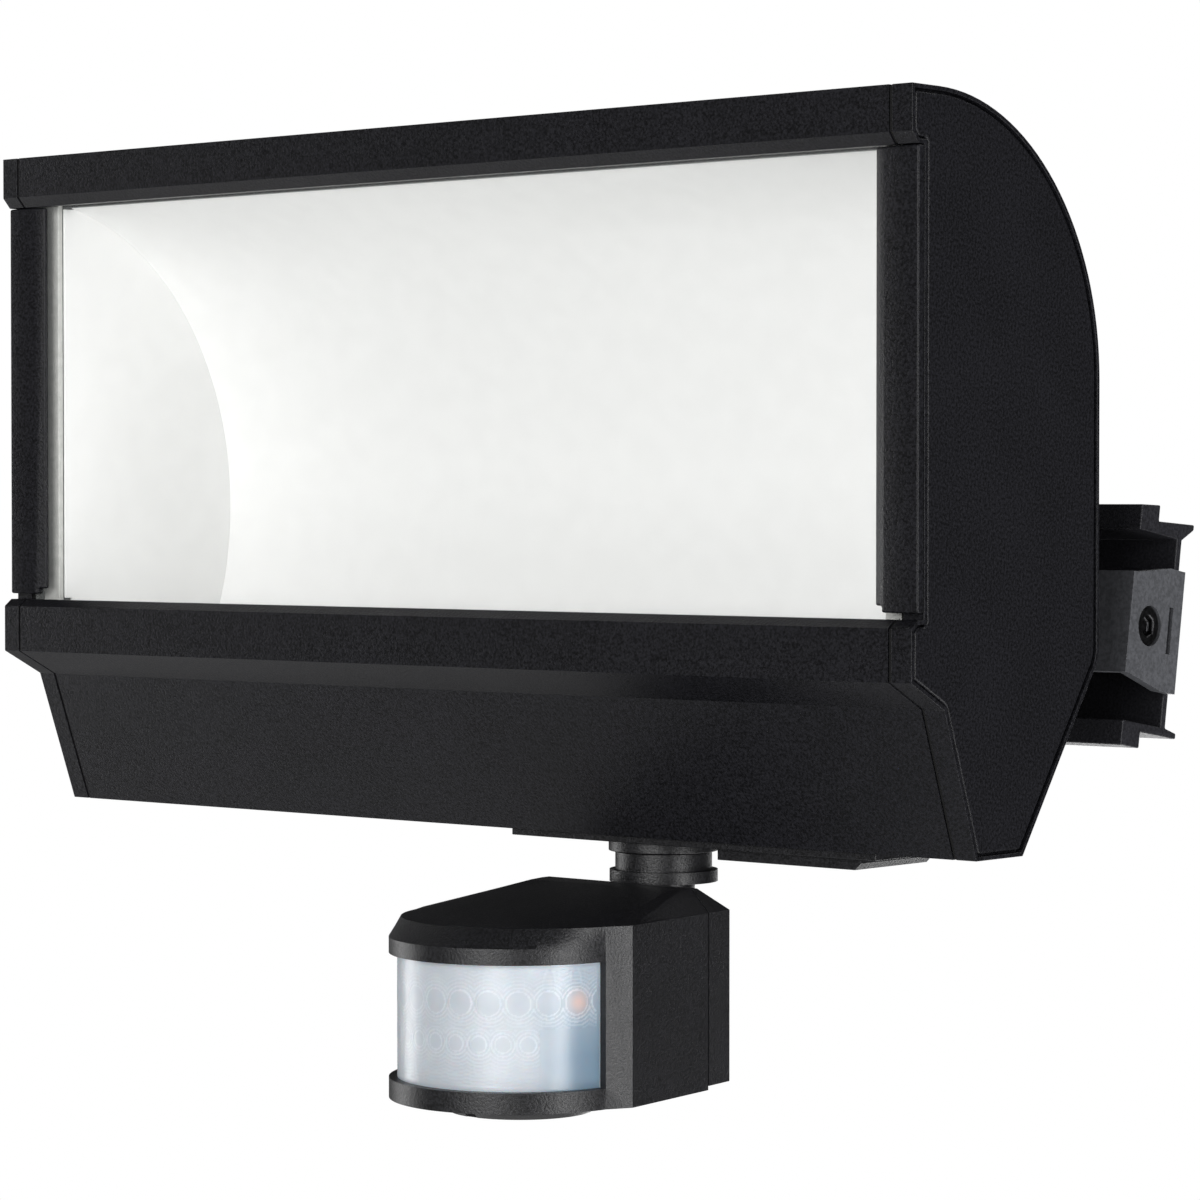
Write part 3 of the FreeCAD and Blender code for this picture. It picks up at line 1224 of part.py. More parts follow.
def make_sensor_electronics():
    board = box("SensorBoard", "neck_across - 20", "neck_across + 20",
                "neck_depth - sensor_board_depth", "neck_depth - sensor_board_depth + board_thickness",
                "-head_bottom + head_wall", "-side_top - head_wall - 1")
    keep_on_lamp("sensor_board", board)
    middle = "-(lens_top + lens_bottom) / 2"
    front = "neck_depth - sensor_board_depth"
    keep_on_lamp("motion_detector", fuse("MotionDetector", [
        rod("DetectorCan", "y", "pyro_radius", "neck_across", f"{front} - pyro_height", middle,
        "pyro_height"),
        rod("DetectorFoot", "y", "pyro_radius + 0.5", "neck_across", f"{front} - 0.8", middle, "0.8"),
    ]))
    keep_on_lamp("indicator_led", fuse("IndicatorLed", [
        rod("IndicatorBody", "y", "led_lamp_radius", "neck_across + 14", f"{front} - 5",
        "-lens_top - 4", "5"),
        rod("IndicatorFlange", "y", "led_lamp_radius + 0.4", "neck_across + 14", f"{front} - 1",
        "-lens_top - 4", "1"),
    ]))
    keep_on_lamp("light_cell", rod("LightCell", "y", "2.5", "neck_across - 14", f"{front} - 2",
            "-lens_top - 4", "2"))
    screws = [
        pan_screw(f"CoverScrew{name}", "y", -1, "cover_screw_radius", "cover_screw_length", across,
                  "neck_depth - head_back", height)
        for name, across, height in COVER_SCREWS
    ]
    keep_on_lamp("back_cover_screws", group("BackCoverScrews", screws))


make_wall_rail()
make_pivots()
make_yoke()
make_rear_mount()
make_housing()
make_end_caps()
make_clamps()
make_glass()
make_reflector()
make_light_source()
make_driver()
make_gland()
make_sensor_base()
make_neck()
make_sensor_head()
make_sensor_lens()
make_back_cover()
make_bottom_disc()
make_sensor_electronics()
doc.recompute()

# ---------------------------------------------------------------- checks and export
failed = [thing.Name for thing in doc.Objects if {"Invalid", "Error"} & set(thing.State)]
for piece in nodes:
    shape = piece.Shape
    if shape.isNull() or not shape.isValid() or not shape.Solids:
        failed.append(piece.Label)
if failed:
    raise RuntimeError(f"these did not build: {failed}")

os.makedirs("parts", exist_ok=True)
for piece in nodes:
    piece.Shape.exportStep(f"parts/{piece.Label}.step")
    span_box = piece.Shape.BoundBox
    print(f"{piece.Label:22s} solids {len(piece.Shape.Solids):3d} volume {piece.Shape.Volume:10.1f}"
          f" x {span_box.XMin:7.1f} {span_box.XMax:7.1f} y {span_box.YMin:7.1f} {span_box.YMax:7.1f}"
          f" z {span_box.ZMin:7.1f} {span_box.ZMax:7.1f}")
print(f"{len(nodes)} nodes")
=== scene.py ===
import json
import math
from typing import NamedTuple

import bmesh
import bpy
import numpy as np
from mathutils import Matrix, Vector


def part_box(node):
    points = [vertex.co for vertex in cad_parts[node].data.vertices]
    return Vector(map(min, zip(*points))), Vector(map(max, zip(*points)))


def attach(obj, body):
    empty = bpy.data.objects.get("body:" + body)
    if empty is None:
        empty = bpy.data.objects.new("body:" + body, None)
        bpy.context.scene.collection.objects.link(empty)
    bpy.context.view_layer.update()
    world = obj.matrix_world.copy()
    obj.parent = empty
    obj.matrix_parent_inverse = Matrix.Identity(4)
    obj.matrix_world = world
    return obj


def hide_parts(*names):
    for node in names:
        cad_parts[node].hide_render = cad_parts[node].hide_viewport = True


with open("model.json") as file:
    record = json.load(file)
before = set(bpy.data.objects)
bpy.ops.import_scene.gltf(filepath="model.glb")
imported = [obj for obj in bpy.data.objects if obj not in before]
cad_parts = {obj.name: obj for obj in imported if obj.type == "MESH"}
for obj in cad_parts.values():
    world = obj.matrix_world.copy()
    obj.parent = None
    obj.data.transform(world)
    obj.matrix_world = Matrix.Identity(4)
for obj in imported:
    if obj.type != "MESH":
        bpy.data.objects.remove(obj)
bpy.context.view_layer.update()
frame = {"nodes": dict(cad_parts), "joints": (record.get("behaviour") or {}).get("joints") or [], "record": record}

bl_info = {
    "name": "Motion-sensor floodlight",
    "version": (1, 0, 0),
    "blender": (4, 5, 0),
    "location": "3D View > Sidebar > Floodlight",
    "description": "Finishes for a wall-mounted LED floodlight with a swivelling motion sensor",
    "category": "Object",
}

MM = 0.001
JOINTS = {joint["name"]: joint for joint in frame["joints"]}
NODE_BODY = {name: body for body, names in frame["record"]["behaviour"]["bodies"].items()
             for name in names}
NODE_SLOT = {part["node"]: part["material_slot"] for part in frame["record"]["subparts"]}

# The lamp is modelled upright and leans back about its pivots; these turn upright places into leaning ones.
PIVOT = Vector(JOINTS["head_tilt"]["pos_m"])
PIVOT_UPRIGHT = Vector((0.0, 0.1037, -0.113))
LAMP_UP = Vector(JOINTS["sensor_pan"]["axis"]).normalized()
LAMP_TILT = Matrix.Rotation(math.atan2(-LAMP_UP.y, LAMP_UP.z), 4, "X")
LAMP_FRAME = Matrix.Translation(PIVOT) @ LAMP_TILT @ Matrix.Translation(-PIVOT_UPRIGHT)

# The sensor head, upright, in millimetres: its neck's axis, its lens and its rear cover's screws. The lens's
# axis and its two straight ends, where it meets the body, are measured forward of the neck's axis.
NECK_ACROSS = 42.5
NECK_DEPTH = 38.0
LENS_AXIS_FORWARD = 49.3
LENS_AXIS_DEPTH = NECK_DEPTH - LENS_AXIS_FORWARD
LENS_EDGE_FORWARD = 52.0
LENS_RADIUS = 26.4
LENS_WALL = 1.0
LENS_TOP = -182.9
LENS_BOTTOM = -209.9
LENS_HALF_ANGLE = math.acos((LENS_EDGE_FORWARD - LENS_AXIS_FORWARD) / LENS_RADIUS)
COVER_SCREW_ACROSS = 22.2
COVER_SCREW_DEPTH = NECK_DEPTH - 7.6
COVER_SCREW_HEIGHTS = (-207.5, -181.4)

# Edges that meet at more than this angle, in degrees, are sharp: they are rounded, or shaded as an edge.
SHARP_ANGLE = 32


def linear(colour):
    """An sRGB hex colour as linear red, green, blue and an alpha of 1, by the sRGB standard's curve."""
    parts = [int(colour[i:i + 2], 16) / 255 for i in (1, 3, 5)]
    return [c / 12.92 if c <= 0.04045 else ((c + 0.055) / 1.055) ** 2.4 for c in parts] + [1.0]


def add(tree, kind, inputs=None, **settings):
    """Adds a node with its settings, and sets or links its inputs."""
    made = tree.nodes.new(kind)
    for key, value in settings.items():
        setattr(made, key, value)
    for key, value in (inputs or {}).items():
        if isinstance(value, bpy.types.NodeSocket):
            tree.links.new(value, made.inputs[key])
        else:
            made.inputs[key].default_value = value
    return made


class FloodlightFinish(bpy.types.PropertyGroup):
    shell_colour: bpy.props.FloatVectorProperty(
        name="Shell", description="Powder coat of the lamp's housing, caps and clamps",
        subtype="COLOR", size=4, min=0, max=1, default=linear("#0b0b0d"))
    bracket_colour: bpy.props.FloatVectorProperty(
        name="Bracket", description="Powder coat of the wall rail",
        subtype="COLOR", size=4, min=0, max=1, default=linear("#1b1b1e"))
    sensor_colour: bpy.props.FloatVectorProperty(
        name="Sensor", description="Moulded plastic of the sensor head",
        subtype="COLOR", size=4, min=0, max=1, default=linear("#0e0e0f"))
    reflector_colour: bpy.props.FloatVectorProperty(
        name="Reflector", description="Satin white coat inside the lamp",
        subtype="COLOR", size=4, min=0, max=1, default=linear("#f8f8f7"))
    grain: bpy.props.FloatProperty(
        name="Powder grain", description="Size of the powder coat's grains",
        unit="LENGTH", default=0.6 * MM, min=0.2 * MM, max=3 * MM)


class FloodlightSizes(bpy.types.PropertyGroup):
    edge: bpy.props.FloatProperty(
        name="Edge", description="How far the coated edges are rounded",
        unit="LENGTH", default=1.0 * MM, min=0.1 * MM, max=1.5 * MM)
    ring_pitch: bpy.props.FloatProperty(
        name="Ring pitch", description="Distance between the sensor lens's moulded rings",
        unit="LENGTH", default=0.75 * MM, min=0.4 * MM, max=3 * MM)
    ring_depth: bpy.props.FloatProperty(
        name="Ring depth", description="How deep the sensor lens's rings are moulded",
        unit="LENGTH", default=0.09 * MM, min=0.02 * MM, max=0.4 * MM)
    facet_angle: bpy.props.FloatProperty(
        name="Facet spacing", description="Angle round the lens from one facet to the next",
        subtype="ANGLE", default=math.radians(14), min=math.radians(5), max=math.radians(45))
    floor_drop: bpy.props.FloatProperty(
        name="Floor drop", description="Height of the wall holes over the studio floor",
        unit="LENGTH", default=1.7, min=0.3, max=3.0)


class Finish(NamedTuple):
    """One coated, moulded or plated surface. A colour is an sRGB hex or the name of a panel colour."""
    title: str
    colour: str
    mottle: str                 # the second colour, which the grain turns to in places
    rough: tuple                # the lowest and the highest roughness
    relief: float               # depth of the grain, in mm
    grain: float | None = None  # size of the grain, in mm; None takes the panel's powder grain
    metallic: float = 0.0
    along_x: float = 1          # below 1 the grain is drawn out along x
    specular: float = 0.5       # specular level, for a finish that isn't a metal


FINISHES = {
    # Polyester powder coat on the die-cast shell: matt black, its fine even grain breaks up highlights.
    "housing_paint": Finish(
        "Fine-textured powder coat, black", "shell_colour", "#1b1b1f",
        rough=(0.3, 0.46), relief=0.12, specular=0.18),
    # The same coat on pressed steel, a little greyer where it is thin.
    "rail_paint": Finish(
        "Fine-textured powder coat, rail", "bracket_colour", "#28282c",
        rough=(0.34, 0.5), relief=0.12, specular=0.22),
    # Dark grey coat of the pressed yoke: a satin sheen that lifts it from the black round it.
    "yoke_paint": Finish(
        "Powder coat, graphite grey", "#404144", "#4d4e52",
        rough=(0.38, 0.55), relief=0.04, grain=0.9),
    # Zinc plating: pale grey metal with a slightly cloudy passivated surface.
    "bright_steel": Finish(
        "Zinc-plated steel", "#b4b5b3", "#9b9c98",
        rough=(0.25, 0.42), relief=0.01, grain=1.6, metallic=1.0),
    # Blackened screws: dark metal with an oily satin gloss.
    "dark_steel": Finish(
        "Black-oxide steel", "#2b2b2d", "#3a3a3b",
        rough=(0.3, 0.45), relief=0.012, grain=1.2, metallic=1.0),
    # EPDM gasket: dead matt black with no sheen.
    "gasket_rubber": Finish(
        "EPDM rubber", "#0c0c0c", "#151515",
        rough=(0.8, 0.95), relief=0.03, grain=1.0, specular=0.25),
    # Silicone bead round the glass: pale and soft, with a dull sheen.
    "pale_silicone": Finish(
        "Silicone, translucent white", "#c4c4c0", "#b6b6b2",
        rough=(0.4, 0.55), relief=0.02, grain=2.0, specular=0.4),
    # Stove-enamelled sheet inside the lamp: satin white, almost without grain.
    "white_reflector": Finish(
        "Stove enamel, satin white", "reflector_colour", "#f5f5f4",
        rough=(0.42, 0.52), relief=0.01, grain=6.0, specular=0.4),
    # Extruded aluminium bar: silver grey with fine die lines along its length.
    "bare_aluminium": Finish(
        "Extruded aluminium", "#b9babc", "#a3a4a6",
        rough=(0.28, 0.45), relief=0.012, grain=0.9, metallic=1.0, along_x=0.02),
    # Solder mask over glass epoxy: white so that it throws the light back, slightly glossy.
    "circuit_board": Finish(
        "White solder mask on FR-4", "#dfe2dd", "#cfd3cc",
        rough=(0.3, 0.45), relief=0.01, grain=3.0),
    # Phosphor in silicone over the LED dies: warm yellow and smooth.
    "led_phosphor": Finish(
        "Phosphor-filled silicone", "#e6c94f", "#d8b93c",
        rough=(0.25, 0.35), relief=0.01, grain=1.0),
    # Gap filler under the driver: chalky grey-blue.
    "thermal_pad": Finish(
        "Silicone gap pad", "#8a98a6", "#7d8a97",
        rough=(0.75, 0.9), relief=0.03, grain=1.5, specular=0.3),
    # Driver's moulded case: off-white polycarbonate.
    "driver_case": Finish(
        "Moulded polycarbonate", "#d5d5d0", "#c9c9c4",
        rough=(0.35, 0.5), relief=0.02, grain=1.5),
    # Terminal block: natural polyamide, waxy and cream.
    "terminal_plastic": Finish(
        "Natural polyamide", "#d9d6c8", "#cac7b8",
        rough=(0.4, 0.55), relief=0.02, grain=1.8),
    # Cable gland: black polyamide with a soft gloss.
    "gland_plastic": Finish(
        "Black polyamide", "#17171a", "#202023",
        rough=(0.35, 0.5), relief=0.02, grain=0.8, specular=0.45),
    # Sensor housing: spark-eroded mould texture in black ABS, slightly shinier than the coat above it.
    "sensor_plastic": Finish(
        "Moulded ABS, spark-eroded texture", "sensor_colour", "#1e1e21",
        rough=(0.3, 0.44), relief=0.13, grain=0.55, specular=0.4),
    # Indicator lamp: deep red diffused epoxy, glossy where it leaves the mould.
    "red_led": Finish(
        "Red diffused epoxy", "#b3221c", "#c9362c",
        rough=(0.2, 0.3), relief=0.005, grain=1.0),
    # Light cell: amber resin over its track.
    "light_cell_face": Finish(
        "Clear resin over cadmium sulphide", "#a5713d", "#c79a5c",
        rough=(0.12, 0.25), relief=0.005, grain=0.6),
    # Adjusters: plain black acetal.
    "dial_plastic": Finish(
        "Black acetal", "#242426", "#2d2d30",
        rough=(0.35, 0.5), relief=0.02, grain=0.7, specular=0.45),
}
# How a finish is mottled: the size of its broad clouds and their share beside the grain, the levels between
# which the sum turns to the second colour, and the levels over which the roughness runs.
CLOUD_SIZE = 18 * MM
CLOUD_SHARE = 0.12
MOTTLE_LEVELS = (0.44, 0.68)
GLOSS_LEVELS = (0.3, 0.7)
BUMP_STRENGTH = 0.8
MATERIALS = {}


def grained(slot):
    """One finish: a mottled colour, a roughness that varies with it and a fine relief."""
    if slot in MATERIALS:
        return MATERIALS[slot]
    finish = FINISHES[slot]
    looks = bpy.context.scene.floodlight_finish
    colour = linear(finish.colour) if finish.colour.startswith("#") else list(getattr(looks, finish.colour))
    grain = looks.grain if finish.grain is None else finish.grain * MM
    made = bpy.data.materials.new(finish.title)
    made.use_nodes = True
    tree = made.node_tree
    shader = tree.nodes["Principled BSDF"]
    place = add(tree, "ShaderNodeTexCoord").outputs["Object"]
    drawn = add(tree, "ShaderNodeMapping", {"Vector": place, "Scale": (finish.along_x, 1.0, 1.0)})
    # Grains of the real coat are about half as large; they are drawn at a size that shows.
    fine = add(tree, "ShaderNodeTexNoise", {
        "Vector": drawn.outputs["Vector"], "Scale": 1 / grain, "Detail": 3.0, "Roughness": 0.6})
    broad = add(tree, "ShaderNodeTexNoise", {
        "Vector": drawn.outputs["Vector"], "Scale": 1 / CLOUD_SIZE, "Detail": 2.0, "Roughness": 0.5})
    slight = add(tree, "ShaderNodeMath", {0: broad.outputs["Fac"], 1: CLOUD_SHARE}, operation="MULTIPLY")
    both = add(tree, "ShaderNodeMath", {0: fine.outputs["Fac"], 1: slight.outputs[0]}, operation="ADD")
    share = add(tree, "ShaderNodeMapRange", {
        "Value": both.outputs[0], "From Min": MOTTLE_LEVELS[0], "From Max": MOTTLE_LEVELS[1],
        "To Min": 0.0, "To Max": 1.0})
    paint = add(tree, "ShaderNodeMix", {
        "Factor": share.outputs[0], "A": colour, "B": linear(finish.mottle)}, data_type="RGBA")
    tree.links.new(paint.outputs["Result"], shader.inputs["Base Color"])
    gloss = add(tree, "ShaderNodeMapRange", {
        "Value": fine.outputs["Fac"], "From Min": GLOSS_LEVELS[0], "From Max": GLOSS_LEVELS[1],
        "To Min": finish.rough[0], "To Max": finish.rough[1]})
    tree.links.new(gloss.outputs[0], shader.inputs["Roughness"])
    bump = add(tree, "ShaderNodeBump", {
        "Height": fine.outputs["Fac"], "Strength": BUMP_STRENGTH, "Distance": finish.relief * MM})
    tree.links.new(bump.outputs["Normal"], shader.inputs["Normal"])
    shader.inputs["Metallic"].default_value = finish.metallic
    if not finish.metallic:
        shader.inputs["Specular IOR Level"].default_value = finish.specular
    MATERIALS[slot] = made
    return made


def float_glass():
    """Clear float glass, 3 mm: nearly invisible face on, with a crisp reflection and a faint green tint."""
    if "clear_glass" in MATERIALS:
        return MATERIALS["clear_glass"]
    made = bpy.data.materials.new("Float glass, clear")
    made.use_nodes = True
    tree = made.node_tree
    shader = tree.nodes["Principled BSDF"]
    place = add(tree, "ShaderNodeTexCoord").outputs["Object"]
    # The sheet's slow waviness, a few centimetres from crest to crest.
    crest_spacing, crest_height = 40 * MM, 0.2 * MM
    wave = add(tree, "ShaderNodeTexNoise", {"Vector": place, "Scale": 1 / crest_spacing, "Detail": 1.0})
    bump = add(tree, "ShaderNodeBump", {
        "Height": wave.outputs["Fac"], "Strength": 0.1, "Distance": crest_height})
    tree.links.new(bump.outputs["Normal"], shader.inputs["Normal"])
    shader.inputs["Base Color"].default_value = linear("#f1f5f3")
    shader.inputs["Roughness"].default_value = 0.02
    shader.inputs["IOR"].default_value = 1.52
    shader.inputs["Alpha"].default_value = 0.07
    MATERIALS["clear_glass"] = made
    return made


def milky_polyethylene():
    """Moulded HDPE sensor lens: milky, bluish white, slightly see-through; rings with painted highlights, ends
    with painted shade.
    """
    if "milky_lens" in MATERIALS:
        return MATERIALS["milky_lens"]
    made = bpy.data.materials.new("Moulded HDPE, milky")
    made.use_nodes = True
    tree = made.node_tree
    shader = tree.nodes["Principled BSDF"]
    place = add(tree, "ShaderNodeTexCoord").outputs["Object"]
    # Painted highlight: the rings and the lens's top and end edges are drawn lighter, in #e2e7ec.
    ring = add(tree, "ShaderNodeAttribute", attribute_name="ring").outputs["Fac"]
    thin = add(tree, "ShaderNodeAttribute", attribute_name="thin").outputs["Fac"]
    lamp = add(tree, "ShaderNodeAttribute", attribute_name="indicator").outputs["Fac"]
    cloud_size, ripple, highlight_strength = 6 * MM, 0.1 * MM, 0.32
    cloud = add(tree, "ShaderNodeTexNoise", {"Vector": place, "Scale": 1 / cloud_size, "Detail": 4.0})
    milk = add(tree, "ShaderNodeMix", {
        "Factor": cloud.outputs["Fac"], "A": linear("#b3bac2"), "B": linear("#c9cfd5")}, data_type="RGBA")
    # Painted shade: darker blue, #6d8294, towards the lens's ends, most of all low down.
    end_shaded = add(tree, "ShaderNodeMix", {
        "Factor": thin, "A": milk.outputs["Result"], "B": linear("#6d8294")}, data_type="RGBA")
    part_highlight = add(tree, "ShaderNodeMath", {0: ring, 1: highlight_strength}, operation="MULTIPLY")
    ringed = add(tree, "ShaderNodeMix", {
        "Factor": part_highlight.outputs[0], "A": end_shaded.outputs["Result"], "B": linear("#e2e7ec"),
    }, data_type="RGBA")
    glowing = add(tree, "ShaderNodeMix", {
        "Factor": lamp, "A": ringed.outputs["Result"], "B": linear("#dbb29f")}, data_type="RGBA")
    tree.links.new(glowing.outputs["Result"], shader.inputs["Base Color"])
    bump = add(tree, "ShaderNodeBump", {
        "Height": cloud.outputs["Fac"], "Strength": 0.15, "Distance": ripple})
    tree.links.new(bump.outputs["Normal"], shader.inputs["Normal"])
    shader.inputs["Roughness"].default_value = 0.3
    shader.inputs["IOR"].default_value = 1.54
    shader.inputs["Transmission Weight"].default_value = 0.12
    shader.inputs["Subsurface Weight"].default_value = 0.25
    shader.inputs["Subsurface Scale"].default_value = 2 * MM
    MATERIALS["milky_lens"] = made
    return made


def finish_of(slot):
    """The material of a slot, made the first time that it is asked for."""
    if slot == "clear_glass":
        return float_glass()
    if slot == "milky_lens":
        return milky_polyethylene()
    return grained(slot)


def new_piece(name, mesh, node):
    """A finished mesh, already in place, that replaces a CAD node and rides on the node's body."""
    slot = NODE_SLOT[node]
    piece = bpy.data.objects.new(name, mesh)
    bpy.context.scene.collection.objects.link(piece)
    mesh.materials.clear()
    mesh.materials.append(finish_of(slot))
    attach(piece, NODE_BODY[node])
    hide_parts(node)
    return piece


def softened(node, width, segments=2):
    """A merged copy of a CAD node with its sharp edges rounded, as a coat of paint or a mould leaves them."""
    same_place, same_plane = 0.002 * MM, math.radians(0.4)
    shape = bmesh.new()
    shape.from_mesh(frame["nodes"][node].data)
    bmesh.ops.remove_doubles(shape, verts=shape.verts, dist=same_place)
    bmesh.ops.dissolve_limit(shape, angle_limit=same_plane, verts=shape.verts, edges=shape.edges)
    mesh = bpy.data.meshes.new(node + "_soft")
    shape.to_mesh(mesh)
    shape.free()
    for layer in ("custom_normal", "UVMap"):
        if layer in mesh.attributes:
            mesh.attributes.remove(mesh.attributes[layer])
    mesh.shade_smooth()
    mesh.set_sharp_from_angle(angle=math.radians(SHARP_ANGLE))
    piece = new_piece(node + "_soft", mesh, node)
    round_edges = piece.modifiers.new("Rounded edges", "BEVEL")
    round_edges.width = width
    round_edges.segments = segments
    round_edges.limit_method = "ANGLE"
    round_edges.angle_limit = math.radians(SHARP_ANGLE)
    round_edges.harden_normals = True
    round_edges.miter_outer = "MITER_ARC"


def painted(*nodes):
    """CAD nodes whose shape is finished take their material as they are."""
    for node in nodes:
        mesh = frame["nodes"][node].data
        mesh.materials.clear()
        mesh.materials.append(finish_of(NODE_SLOT[node]))


def tree_with(title, sizes):
    """An empty geometry tree with a length or number input for each size, and a material input."""
    tree = bpy.data.node_groups.new(title, "GeometryNodeTree")
    tree.interface.new_socket("Geometry", in_out="INPUT", socket_type="NodeSocketGeometry")
    for name, value in sizes.items():
        kind = "NodeSocketInt" if isinstance(value, int) else "NodeSocketFloat"
        tree.interface.new_socket(name, in_out="INPUT", socket_type=kind).default_value = value
    tree.interface.new_socket("Material", in_out="INPUT", socket_type="NodeSocketMaterial")
    tree.interface.new_socket("Geometry", in_out="OUTPUT", socket_type="NodeSocketGeometry")
    return tree, add(tree, "NodeGroupInput").outputs


def close_tree(tree, geometry, material):
    """Every tree ends in real geometry with its material set."""
    real = add(tree, "GeometryNodeRealizeInstances", {"Geometry": geometry})
    coated = add(tree, "GeometryNodeSetMaterial", {"Geometry": real.outputs[0], "Material": material})
    add(tree, "NodeGroupOutput", {"Geometry": coated.outputs[0]})
    return tree


def turned_out(name, tree, points, sizes, place, node):
    """Runs a tree on points in its own frame and makes the result a plain mesh in the node's place."""
    seed = bpy.data.meshes.new(name)
    seed.from_pydata([tuple(p) for p in points], [], [])
    carrier = bpy.data.objects.new(name + "_seed", seed)
    bpy.context.scene.collection.objects.link(carrier)
    made_by = carrier.modifiers.new(tree.name, "NODES")
    made_by.node_group = tree
    sockets = {s.name: s.identifier for s in tree.interface.items_tree if s.in_out == "INPUT"}
    for key, value in {**sizes, "Material": finish_of(NODE_SLOT[node])}.items():
        made_by[sockets[key]] = value
    graph = bpy.context.evaluated_depsgraph_get()
    mesh = bpy.data.meshes.new_from_object(carrier.evaluated_get(graph))
    bpy.data.objects.remove(carrier)
    mesh.transform(place)
    mesh.name = name
    mesh.set_sharp_from_angle(angle=math.radians(SHARP_ANGLE))
    new_piece(name, mesh, node)


def screw_tree():
    """Pan-head screws with a cross recess, on points, each head standing along +Z over a shank."""
    head_taper = 0.72   # the head's top against its foot
    wing_length = 1.15  # the recess's length against the head's radius
    tree, size = tree_with("Cross-recess screws", {
        "Head Radius": 2.4 * MM, "Head Height": 1.6 * MM, "Shank Radius": 1.2 * MM,
        "Shank Length": 12 * MM, "Recess Width": 0.6 * MM})
    top = add(tree, "ShaderNodeMath", {0: size["Head Radius"], 1: head_taper}, operation="MULTIPLY")
    head = add(tree, "GeometryNodeMeshCone", {
        "Vertices": 28, "Radius Bottom": size["Head Radius"], "Radius Top": top.outputs[0],
        "Depth": size["Head Height"]})
    reach = add(tree, "ShaderNodeMath", {0: size["Head Radius"], 1: wing_length}, operation="MULTIPLY")
    across = reach.outputs[0]
    raised = add(tree, "ShaderNodeCombineXYZ", {"Z": size["Head Height"]})
    recessed = add(tree, "GeometryNodeMeshBoolean", {"Mesh 1": head.outputs["Mesh"]},
                   operation="DIFFERENCE")
    for x, y in ((across, size["Recess Width"]), (size["Recess Width"], across)):
        extent = add(tree, "ShaderNodeCombineXYZ", {"X": x, "Y": y, "Z": size["Head Height"]})
        wing = add(tree, "GeometryNodeMeshCube", {"Size": extent.outputs[0]})
        cutter = add(tree, "GeometryNodeTransform", {
            "Geometry": wing.outputs["Mesh"], "Translation": raised.outputs[0]})
        tree.links.new(cutter.outputs[0], recessed.inputs["Mesh 2"])
    shank = add(tree, "GeometryNodeMeshCylinder", {
        "Vertices": 16, "Radius": size["Shank Radius"], "Depth": size["Shank Length"]})
    down = add(tree, "ShaderNodeMath", {0: size["Shank Length"], 1: -0.5}, operation="MULTIPLY")
    low = add(tree, "ShaderNodeCombineXYZ", {"Z": down.outputs[0]})
    sunk = add(tree, "GeometryNodeTransform", {
        "Geometry": shank.outputs["Mesh"], "Translation": low.outputs[0]})
    screw = add(tree, "GeometryNodeJoinGeometry")
    for part in (recessed.outputs["Mesh"], sunk.outputs[0]):
        tree.links.new(part, screw.inputs[0])
    spots = add(tree, "GeometryNodeInstanceOnPoints", {
        "Points": size["Geometry"], "Instance": screw.outputs[0]})
    return close_tree(tree, spots.outputs[0], size["Material"])


def package_tree():
    """A row of square LED packages, each a low block with a shallow round dome of phosphor."""
    dome_foot, dome_top = 0.42, 0.3  # the dome's radii against the package's side
    tree, size = tree_with("LED packages", {
        "Count": 16, "Pitch": 15 * MM, "Package Size": 3 * MM, "Package Height": 0.45 * MM})
    step = add(tree, "ShaderNodeCombineXYZ", {"X": size["Pitch"]})
    row = add(tree, "GeometryNodeMeshLine", {"Count": size["Count"], "Offset": step.outputs[0]})
    extent = add(tree, "ShaderNodeCombineXYZ", {
        "X": size["Package Size"], "Y": size["Package Size"], "Z": size["Package Height"]})
    block = add(tree, "GeometryNodeMeshCube", {"Size": extent.outputs[0]})
    wide = add(tree, "ShaderNodeMath", {0: size["Package Size"], 1: dome_foot}, operation="MULTIPLY")
    narrow = add(tree, "ShaderNodeMath", {0: size["Package Size"], 1: dome_top}, operation="MULTIPLY")
    dome = add(tree, "GeometryNodeMeshCone", {
        "Vertices": 20, "Radius Bottom": wide.outputs[0], "Radius Top": narrow.outputs[0],
        "Depth": size["Package Height"]})
    package = add(tree, "GeometryNodeJoinGeometry")
    for part in (block.outputs["Mesh"], dome.outputs["Mesh"]):
        tree.links.new(part, package.inputs[0])
    chips = add(tree, "GeometryNodeInstanceOnPoints", {
        "Points": row.outputs["Mesh"], "Instance": package.outputs[0]})
    placed = add(tree, "GeometryNodeInstanceOnPoints", {
        "Points": size["Geometry"], "Instance": chips.outputs[0]})
    return close_tree(tree, placed.outputs[0], size["Material"])


class FLOODLIGHT_OT_lamp_shell(bpy.types.Operator):
    """Coats the housing, end caps, covers, gaskets and glass clamps and rounds their edges"""
    bl_idname = "floodlight.lamp_shell"
    bl_label = "Lamp shell"

    def execute(self, context):
        edge = context.scene.floodlight_sizes.edge
        cover_edge, clamp_edge, gasket_edge = 0.7 * edge, 0.6 * edge, 0.2 * edge
        softened("housing", edge, 3)
        for side in ("left", "right"):
            softened(f"end_cap_{side}", edge, 3)
            softened(f"side_cover_{side}", cover_edge)
            softened(f"glass_clamp_{side}", clamp_edge)
            softened(f"seam_gasket_{side}", gasket_edge, 1)
        softened("rear_mount", edge)
        return {"FINISHED"}


class FLOODLIGHT_OT_window(bpy.types.Operator):
    """Finishes the glass, its seal and the white reflector behind it"""
    bl_idname = "floodlight.window"
    bl_label = "Glass and reflector"

    def execute(self, context):
        ground_edge, bead_edge, sheet_edge = 0.4 * MM, 0.3 * MM, 0.15 * MM
        softened("glass", ground_edge)
        softened("glass_seal", bead_edge)
        for node in ("reflector", "reflector_floor", "reflector_end_left", "reflector_end_right"):
            softened(node, sheet_edge, 1)
        return {"FINISHED"}


